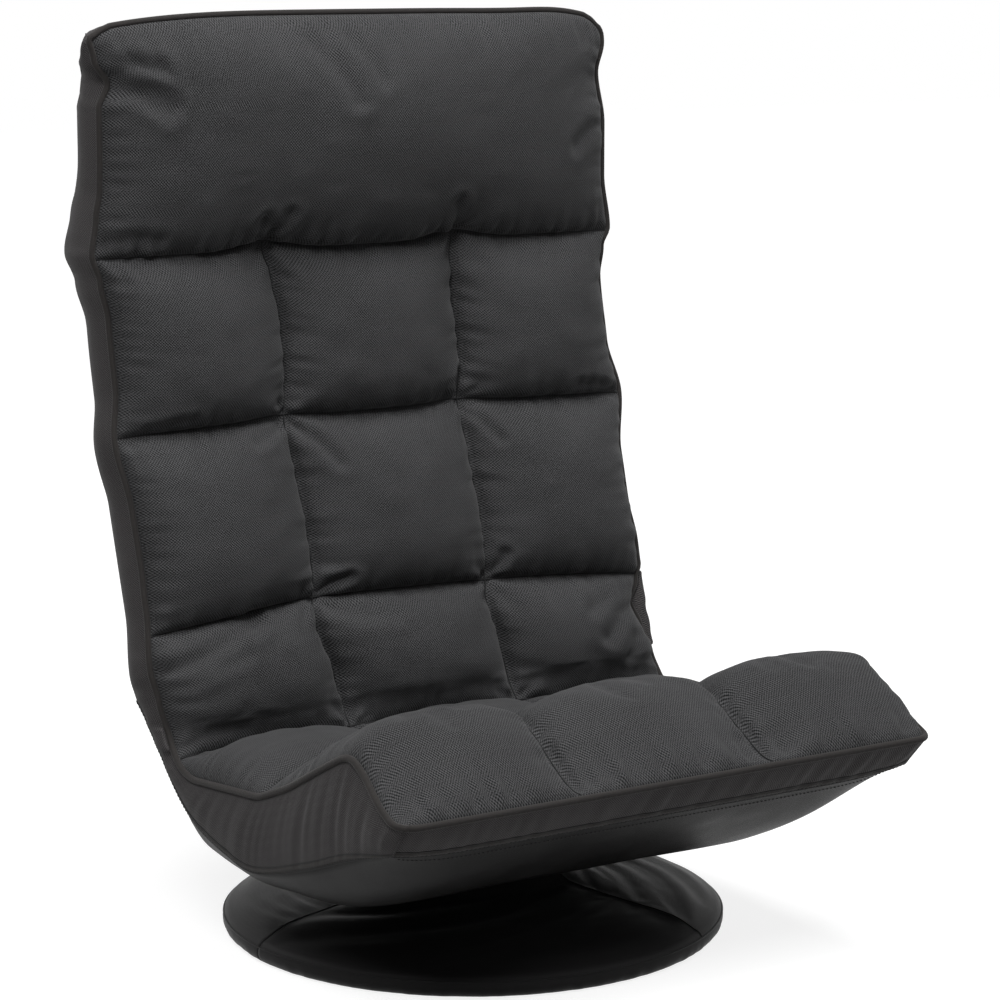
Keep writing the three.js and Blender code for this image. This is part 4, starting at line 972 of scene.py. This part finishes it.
def hem():
    """A flat binding along the lower seam of the boxing, round three sides of the seat."""
    points, faces, lines = [], [], []
    strips = [
        (left_sheet[: 2 * left_seat_rows], (-1, 0, 0)),
        (front_sheet, (0, -1, 0)),
        (right_sheet[: 2 * right_seat_rows], (1, 0, 0)),
    ]
    for sheet, out in strips:
        strip = sheet[:, :BINDING_COLUMNS]
        proud = normals(strip)
        facing = np.sign((proud * out).sum())
        proud = proud * facing
        strip = strip + proud * (BINDING_PROUD * BINDING_SHARES)[None, :, None]
        faces += grid_faces(*strip.shape[:2], first=sum(len(p) for p in points), flip=facing < 0)
        points.append(strip.reshape(-1, 3))
        lines.append(strip)
    points = np.concatenate(points)
    obj = make("hem_binding", points, faces, points)
    edges = [line[:, k] for line in lines for k in (0, BINDING_COLUMNS - 1)]
    seams = cords("hem_seams", edges, HEM_SEAM_RADIUS)
    return obj, seams, stitches("hem_stitches", [line[:, 1] for line in lines])


hem_binding, hem_seams, hem_stitches = hem()

SEAM_RADIUS = 0.9 * MM
front_corner_seams = cords("front_corner_seams", [left_sheet[0], right_sheet[0]], SEAM_RADIUS)
top_corner_seams = cords("top_corner_seams", [left_sheet[-1], right_sheet[-1]], SEAM_RADIUS)

# Coated cloth sling under the seat


SLING_ROWS = 150
SLING_COLUMNS = 108
SLING_THICKNESS = 1.4 * MM
# The flat size of the sling: its length is short of the profile's, 0.55 m in the middle
# How long its grain is drawn from front to rear
SLING_GRAIN_LENGTH = 0.42
SLING_LOW = 80 * MM
HOLE_RIM = 3 * MM
DENT_DEPTH = 2.5 * MM
DENT_LIMIT = 3 * MM


def sling():
    """The coated cloth from the front seam under the seat to the rear seam, with a hole for the bearing."""
    rows, columns = SLING_ROWS, SLING_COLUMNS
    t = np.linspace(0, 1, rows)
    side = spline(SIDE_SEAM, rows)
    middle = spline(MIDDLE_LINE, rows)
    x = np.linspace(-SLING_HALF_WIDTH, SLING_HALF_WIDTH, columns)
    lift = side_lift(x)
    yz = mix(middle[:, None], side[:, None], lift[None, :, None])
    grid = np.concatenate([np.broadcast_to(x[None, :, None], (rows, columns, 1)), yz], -1)
    centre = np.hypot(grid[..., 0], grid[..., 1])
    low = grid[..., 2] < SLING_LOW
    near = low & (centre > SLING_HOLE - HOLE_RIM) & (centre < SLING_HOLE + HOLE_RIM)
    scale = np.where(near, SLING_HOLE / np.maximum(centre, 1e-6), 1)
    grid[..., :2] *= scale[..., None]
    inside = low & (centre <= SLING_HOLE - HOLE_RIM)
    dent = ripple(grid * [0.6, 1.4, 1.0], 70 * MM, 5) * DENT_DEPTH
    hold = unit(1 - lift)[None] * unit(np.minimum(t, 1 - t) / 0.08)[:, None]
    hold = hold * unit((np.hypot(grid[..., 0], grid[..., 1]) - SLING_HOLE) / (40 * MM))
    grid[..., 2] += np.clip(dent * hold, -DENT_LIMIT, DENT_LIMIT)
    faces = [f for f in grid_faces(rows, columns) if not any(inside.ravel()[k] for k in f)]
    drawn = np.broadcast_to(t[:, None] * SLING_GRAIN_LENGTH, (rows, columns))
    coords = np.stack([np.broadcast_to(x, (rows, columns)), drawn, 0 * centre], -1).reshape(-1, 3)
    used = sorted({k for f in faces for k in f})
    number = {k: i for i, k in enumerate(used)}
    faces = [[number[k] for k in f] for f in faces]
    obj = make("seat_sling", grid.reshape(-1, 3)[used], faces, coords[used])
    thicken(obj, SLING_THICKNESS)
    return obj, stitches("sling_stitches", [grid[-4, 2:-2] - [0, 0, 0.2 * MM]])


seat_sling, sling_stitches = sling()

# Cloth cover of the round base

RING_RADIUS = 218.7 * MM
RING_Z = 11.3 * MM
RING_WRAP = 11.3 * MM
HUB_RADIUS = 78 * MM
HUB_TOP = 61 * MM
TENT_SHARES = [[0.1, 0.21], [0.23, 0.32], [0.5, 0.46], [0.82, 0.68], [0.92, 0.86], [0.965, 0.985]]
GORE_SEAMS = [181 * DEG, 300 * DEG, 420 * DEG]
BASE_AROUND = 240
BASE_CUT = 1.015
# The square that the base cloth is cut from, and its area over that of the base's disc, both guessed
BASE_FOLD = 3.5 * MM
BASE_RIPPLE = 0.4 * MM
GORE_PULL = 0.8 * MM
GORE_RIDGE = 0.6 * MM
UNDER_GATHER = 0.9 * MM
BASE_THICKNESS = 0.9 * MM
FLOOR_GAP = 0.3 * MM


def on_ring(angles):
    """Points round the section of the ring tube, with its cloth."""
    return [(RING_RADIUS + RING_WRAP * math.cos(a), RING_Z + RING_WRAP * math.sin(a)) for a in angles]


def turned(profile, theta):
    """A profile of radius and height turned round the swivel axis."""
    r, z = profile[:, 0][:, None], profile[:, 1][:, None]
    return np.stack([r * np.cos(theta), r * np.sin(theta), z + 0 * theta], -1)


def base_cloth():
    """The cover drawn from the hub out over the ring, and gathered under it."""
    ring_top = RING_Z + RING_WRAP
    tent = [(mix(RING_RADIUS, HUB_RADIUS, a), mix(ring_top, HUB_TOP, b)) for a, b in TENT_SHARES]
    profile = spline([*tent[::-1], *on_ring(np.linspace(75, 22, 4) * DEG)], 44)
    theta = np.linspace(GORE_SEAMS[0], GORE_SEAMS[0] + 2 * np.pi, BASE_AROUND + 1)
    grid = turned(profile, theta)
    share = np.linspace(0, 1, len(profile))[:, None]
    slack = np.sin(np.pi * share ** 0.8)
    radius = profile[:, 0][:, None]
    turn = theta[None] * RING_RADIUS
    broad = folds(turn * (0.4 + 0.6 * radius / RING_RADIUS), radius + turn * 0.35, 60 * MM, 150 * MM, 6)
    lift = slack * (BASE_FOLD * broad + BASE_RIPPLE * ripple(grid, 30 * MM, 8))
    for seam in GORE_SEAMS:
        away = np.abs(np.angle(np.exp(1j * (theta - seam))))[None] * radius
        pull = GORE_PULL * folds(radius, away, 14 * MM, 80 * MM, 12) * near_seam(away, 8 * MM)
        lift = lift * (1 - bump(away, 12 * MM)) + slack * (pull + GORE_RIDGE * bump(away, 3 * MM))
    blend = unit(np.minimum(theta - theta[0], theta[-1] - theta) / 0.05)
    grid[..., 2] += lift * blend
    seams = [round((seam - GORE_SEAMS[0]) / (2 * np.pi) * BASE_AROUND) for seam in GORE_SEAMS]
    pinned = pins(grid.shape[:2], [0, 1, -1], [*seams, -1])
    cloth = relaxed(grid, turned(profile, theta) * BASE_CUT, pinned, -0.6, 4 * MM, bending=0.3)
    breaks = [0, len(profile) - 1], [*seams, BASE_AROUND]
    cloth = finer(cloth, *breaks)
    theta = np.linspace(theta[0], theta[-1], cloth.shape[1])
    under = np.array(on_ring(np.linspace(12, -90, 10) * DEG) + [(RING_RADIUS - 14 * MM, FLOOR_GAP)])
    under[:, 1] = np.maximum(under[:, 1], FLOOR_GAP)
    band = turned(under, theta)
    down = np.arange(len(under))[:, None] * 4 * MM
    gather = folds(theta[None] * RING_RADIUS, down, 9 * MM, 60 * MM, 15)
    gather = UNDER_GATHER * gather * np.sin(np.linspace(0, np.pi, len(under)))[:, None]
    band[..., 0] += gather * np.cos(theta)
    band[..., 1] += gather * np.sin(theta)
    whole = np.concatenate([cloth, band])
    whole[:, -1] = whole[:, 0]
    run = run_along(whole[:, 0])
    coords = np.stack([
        np.broadcast_to(theta * RING_RADIUS, whole.shape[:2]),
        np.broadcast_to(run[:, None], whole.shape[:2]),
        np.zeros(whole.shape[:2]),
    ], -1)
    obj = make("base_cloth", whole, grid_faces(*whole.shape[:2], flip=True), coords)
    thicken(obj, BASE_THICKNESS)
    rim = cords("base_rim_seam", [cloth[-1, :-1] + [0, 0, 0.2 * MM]], SEAM_RADIUS, closed=True)
    gores = [cloth[:, 2 * seam] + [0, 0, 0.1 * MM] for seam in seams]
    return obj, [rim, cords("base_gore_seams", gores, 0.7 * SEAM_RADIUS)]


base_cover, base_seams = base_cloth()

# Materials


def material(name, color, roughness, metallic=0.0, sheen=0.0, sheen_roughness=0.5, specular=0.5):
    m = bpy.data.materials.new(name)
    m.use_nodes = True
    shader = m.node_tree.nodes["Principled BSDF"]
    shader.inputs["Base Color"].default_value = (*color, 1)
    shader.inputs["Roughness"].default_value = roughness
    shader.inputs["Metallic"].default_value = metallic
    shader.inputs["Sheen Weight"].default_value = sheen
    shader.inputs["Sheen Roughness"].default_value = sheen_roughness
    shader.inputs["Specular IOR Level"].default_value = specular
    return m, m.node_tree, shader


def node(tree, kind, inputs=None, **settings):
    made = tree.nodes.new(kind)
    for key, value in settings.items():
        setattr(made, key, value)
    for key, value in (inputs or {}).items():
        if isinstance(value, bpy.types.NodeSocket):
            tree.links.new(value, made.inputs[key])
        else:
            made.inputs[key].default_value = value
    return made


def maths(tree, kind, a, b=0.0, c=0.0):
    return node(tree, "ShaderNodeMath", {0: a, 1: b, 2: c}, operation=kind).outputs[0]


def noise_of(tree, where, scale, detail):
    made = node(tree, "ShaderNodeTexNoise", {"Vector": where, "Scale": scale, "Detail": detail})
    return made.outputs["Fac"]


def finish(tree, shader, tone, colors, height, strength, depth):
    """Colours by the tone, from the first colour to the last, and relief by the height."""
    ramp = tree.nodes.new("ShaderNodeValToRGB")
    for element, (at, color) in zip(ramp.color_ramp.elements, colors):
        element.position = at
        element.color = (*color, 1)
    tree.links.new(tone, ramp.inputs["Fac"])
    tree.links.new(ramp.outputs["Color"], shader.inputs["Base Color"])
    relief = node(tree, "ShaderNodeBump", {"Height": height, "Strength": strength, "Distance": depth})
    tree.links.new(relief.outputs["Normal"], shader.inputs["Normal"])


def roughened(tree, shader, tone, spread, least):
    """Roughness that rises from the least with the tone."""
    tree.links.new(maths(tree, "MULTIPLY_ADD", tone, spread, least), shader.inputs["Roughness"])


def cloth_place(tree):
    """The place on the flat cloth, in metres."""
    return node(tree, "ShaderNodeAttribute", attribute_name="cloth").outputs["Vector"]


def object_place(tree):
    return node(tree, "ShaderNodeTexCoord").outputs["Object"]


def woven(name, light, dark, pitch, depth, roughness, sheen, specular=0.15):
    """A twill: slanting ribs of yarn, crossed the other way, with a fleck in the yarn."""
    m, tree, shader = material(
        name, light, roughness, sheen=sheen, sheen_roughness=0.4, specular=specular
    )
    cloth = cloth_place(tree)
    parts = node(tree, "ShaderNodeSeparateXYZ", {0: cloth})
    x, y = parts.outputs["X"], parts.outputs["Y"]
    turn = 2 * math.pi / pitch
    warp = maths(tree, "SINE", maths(tree, "MULTIPLY", x, turn))
    weft = maths(tree, "SINE", maths(tree, "MULTIPLY", y, turn))
    slanting = maths(tree, "MULTIPLY_ADD", y, 0.8, x)
    slant = maths(tree, "SINE", maths(tree, "MULTIPLY", slanting, turn))
    fleck = noise_of(tree, cloth, 2.6 / pitch, 0.0)
    ribs = maths(tree, "MULTIPLY", slant, 0.13)
    weave = maths(tree, "MULTIPLY_ADD", maths(tree, "MULTIPLY", warp, weft), 0.34, ribs)
    height = maths(tree, "ADD", weave, maths(tree, "MULTIPLY", fleck, 0.7))
    tone = maths(tree, "MULTIPLY_ADD", noise_of(tree, cloth, 9.0, 3.0), 0.25, height)
    finish(tree, shader, tone, [(0.16, dark), (0.84, light)], height, 0.7, depth)
    roughened(tree, shader, fleck, 0.15, roughness - 0.08)
    return m


def shades(color, low, high):
    """A darker and a lighter tone of the colour, for the noise's range."""
    return [(0.3, tuple(low * c for c in color)), (0.7, tuple(min(1, high * c) for c in color))]


def coated(name, color, roughness, grain, dent):
    """Soft sheen coated cloth with a fine leather grain and slow dents."""
    m, tree, shader = material(name, color, roughness, specular=0.045)
    cloth = cloth_place(tree)
    grains = {"Vector": cloth, "Scale": 1 / grain}
    cells = node(tree, "ShaderNodeTexVoronoi", grains, feature="DISTANCE_TO_EDGE").outputs["Distance"]
    slow = noise_of(tree, cloth, 1 / dent, 2.0)
    fine = maths(tree, "MINIMUM", maths(tree, "MULTIPLY", cells, 3.0), 0.5)
    height = maths(tree, "ADD", fine, maths(tree, "MULTIPLY", slow, 6.0))
    finish(tree, shader, slow, shades(color, 0.8, 1.25), height, 0.5, 0.3 * MM)
    roughened(tree, shader, slow, 0.25, roughness - 0.12)
    return m


def metal(name, color, roughness, metallic, scratch):
    """Painted or plated steel, a little uneven in gloss and tone."""
    m, tree, shader = material(name, color, roughness, metallic)
    grain = noise_of(tree, object_place(tree), scratch, 4.0)
    finish(tree, shader, grain, shades(color, 0.8, 1.15), grain, 0.15, 0.4 * MM)
    roughened(tree, shader, grain, 0.3, roughness - 0.15)
    return m


def foam_material():
    m, tree, shader = material("foam", (0.62, 0.56, 0.36), 0.9)
    pores = {"Vector": object_place(tree), "Scale": 400.0}
    cells = node(tree, "ShaderNodeTexVoronoi", pores).outputs["Distance"]
    colors = [(0.0, (0.45, 0.4, 0.25)), (0.6, (0.66, 0.6, 0.4))]
    finish(tree, shader, cells, colors, cells, 0.6, 0.8 * MM)
    return m


fabric = woven("fabric", (0.066, 0.066, 0.0685), (0.001, 0.001, 0.001), 2.6 * MM, 0.35 * MM, 0.85, 0.06)
boxing_fabric = woven(
    "boxing_fabric", (0.080, 0.075, 0.076), (0.006, 0.0056, 0.0058), 2.3 * MM, 0.3 * MM, 0.85, 0.06
)
piping_fabric = woven(
    "piping_fabric", (0.031, 0.028, 0.0268), (0.008, 0.0072, 0.007), 1.0 * MM, 0.2 * MM, 0.8, 0.1
)
thread = woven("thread", (0.011, 0.011, 0.0115), (0.005, 0.005, 0.0053), 0.6 * MM, 0.05 * MM, 0.7, 0.05)
vinyl = coated("vinyl", (0.011, 0.0108, 0.0108), 0.42, 1.6 * MM, 60 * MM)
base_fabric = woven(
    "base_fabric", (0.024, 0.0235, 0.024), (0.010, 0.0098, 0.010), 0.8 * MM, 0.06 * MM, 0.44, 0.03,
    specular=0.05,
)
painted = metal("painted_steel", (0.02, 0.02, 0.022), 0.42, 0.0, 300.0)
zinc = metal("zinc_steel", (0.3, 0.31, 0.32), 0.42, 1.0, 180.0)
foam = foam_material()
bottom_cloth = woven(
    "bottom_cloth", (0.016, 0.016, 0.017), (0.009, 0.009, 0.010), 1.2 * MM, 0.1 * MM, 0.8, 0.05
)

DRESSED = [
    (fabric, "fabric", seat_cushion, lumbar_cushion, back_cushion, headrest_cushion),
    (boxing_fabric, "fabric", left_boxing, right_boxing, front_boxing, top_boxing, rear_cover),
    (boxing_fabric, "fabric", front_corner_seams, top_corner_seams),
    (foam, "foam", back_filling),
    (piping_fabric, "piping", piping, hem_binding),
    (vinyl, "vinyl", seat_sling),
    (base_fabric, "base_cloth", base_cover, *base_seams),
    (thread, "fabric", tuft_stitches, tuft_seams_and_painted_shade),
    (thread, "piping", hem_stitches, hem_seams),
    (thread, "vinyl", sling_stitches),
]
for look, slot, *pieces in DRESSED:
    for piece in pieces:
        piece.data.materials.clear()
        piece.data.materials.append(look)

# The finish of each solid that stays, by a word of its name; the first row that fits counts
NODE_FINISHES = [
    (foam, "foam"),
    (bottom_cloth, "base_bottom_panel"),
    (painted, "base_ring", "base_spoke", "base_hub_plate", "seat_cross_bar", "frame_tube"),
    (painted, "back_cross_tube", "cheek", "back_arm"),
    (zinc, "pawl", "spring", "pin", "rivet", "swivel", "bolt"),
]
for name, solid in frame["nodes"].items():
    looks = [look for look, *words in NODE_FINISHES if any(word in name for word in words)]
    if looks:
        for k in range(len(solid.data.materials)):
            solid.data.materials[k] = looks[0]
        if not solid.data.materials:
            solid.data.materials.append(looks[0])

# What each piece moves with, and the solids it stands for

for piece in (
    lumbar_cushion, left_boxing, right_boxing, rear_cover, piping,
    tuft_stitches, tuft_seams_and_painted_shade, hem_binding, hem_seams, hem_stitches,
):
    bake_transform(piece)
for piece in (seat_cushion, front_boxing, seat_sling, sling_stitches, front_corner_seams):
    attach(piece, "seat")
for piece in (back_cushion, headrest_cushion, back_filling, top_boxing, top_corner_seams):
    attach(piece, "back")
for piece in (base_cover, *base_seams):
    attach(piece, "base")

STANDS_FOR = [
    (seat_cushion, "seat_pad"),
    (lumbar_cushion, "pad_bend"),
    (back_cushion, "back_pad"),
    (headrest_cushion, "headrest_pad"),
    (left_boxing, "seat_side_panel_left", "back_side_panel_left"),
    (right_boxing, "seat_side_panel_right", "back_side_panel_right"),
    (rear_cover, "back_rear_panel", "cover_bend"),
    (back_filling, "back_foam"),
    (piping, "seat_piping", "back_piping"),
    (front_boxing, "seat_front_panel"),
    (top_boxing, "back_top_panel"),
    (seat_sling, "seat_hull_cover"),
    (base_cover, "base_cover"),
]
for piece, *nodes in STANDS_FOR:
    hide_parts(*nodes)

# Floor, light and camera

AZIMUTH = -33.951 * DEG
ELEVATION = 9.695 * DEG
CAMERA_PLACE = Vector((-1.5846, -2.398, 0.8846))
CAMERA_LENS = 116.326
SENSOR_WIDTH = 36
FLOOR_SIZE = 12.0
# How much the floor glows where it is seen: less near the chair, where the lamps light it too
GLOW_AT_CHAIR = 0.82
GLOW_RISE = 0.07
# How bright the world lights the chair, and how bright it is where it is seen
WORLD_LIGHT = 0.09
WORLD_SEEN = 1.0
LAMP_AIM = Vector((0, 0, 0.35))
# Each lamp's name, place, width and power
LAMPS = [
    ("key", (-1.6, -1.4, 2.5), 1.0, 58),
    ("fill", (2.0, -2.2, 2.2), 1.6, 10),
    ("top", (0.2, -0.5, 3.0), 1.4, 82),
    ("rear", (-1.6, 2.6, 1.9), 2.0, 14),
]


def seen(tree):
    """1 where the camera sees the surface, straight or in something glossy or clear."""
    ray = node(tree, "ShaderNodeLightPath").outputs
    straight = maths(tree, "MAXIMUM", ray["Is Camera Ray"], ray["Is Glossy Ray"])
    return maths(tree, "MAXIMUM", straight, ray["Is Transmission Ray"])


def floor():
    """A pale floor that shows white, with the shadow of the chair."""
    corners = [(FLOOR_SIZE * x, FLOOR_SIZE * y, 0) for x, y in ((-1, -1), (1, -1), (1, 1), (-1, 1))]
    obj = make("floor", corners, [[0, 1, 2, 3]])
    m, tree, shader = material("floor", (0.3, 0.3, 0.3), 1, specular=0)
    where = object_place(tree)
    away = node(tree, "ShaderNodeVectorMath", {0: where}, operation="LENGTH").outputs["Value"]
    level = maths(tree, "MINIMUM", maths(tree, "MULTIPLY_ADD", away, GLOW_RISE, GLOW_AT_CHAIR), 1.0)
    glow = node(tree, "ShaderNodeEmission", {"Strength": maths(tree, "MULTIPLY", seen(tree), level)})
    both = node(tree, "ShaderNodeAddShader", {0: shader.outputs[0], 1: glow.outputs[0]})
    tree.links.new(both.outputs[0], tree.nodes["Material Output"].inputs["Surface"])
    obj.data.materials.append(m)


def lamp(name, where, size, power):
    data = bpy.data.lights.new(name, "AREA")
    data.shape = "DISK"
    data.size = size
    data.energy = power
    obj = bpy.data.objects.new(name, data)
    obj.location = where
    obj.rotation_euler = (LAMP_AIM - Vector(where)).to_track_quat("-Z", "Y").to_euler()
    bpy.context.scene.collection.objects.link(obj)


def world():
    w = bpy.data.worlds.new("world")
    w.use_nodes = True
    tree = w.node_tree
    strength = maths(tree, "MULTIPLY_ADD", seen(tree), WORLD_SEEN - WORLD_LIGHT, WORLD_LIGHT)
    tree.links.new(strength, tree.nodes["Background"].inputs["Strength"])
    tree.nodes["Background"].inputs["Color"].default_value = (1, 1, 1, 1)
    bpy.context.scene.world = w


floor()
world()
for row in LAMPS:
    lamp(*row)

camera_data = bpy.data.cameras.new("camera")
camera_data.lens = CAMERA_LENS
camera_data.sensor_width = SENSOR_WIDTH
camera = bpy.data.objects.new("camera", camera_data)
camera.location = CAMERA_PLACE
camera.rotation_euler = (math.pi / 2 - ELEVATION, 0, AZIMUTH)
bpy.context.scene.collection.objects.link(camera)
bpy.context.scene.camera = camera
bpy.context.scene.view_settings.view_transform = "Standard"
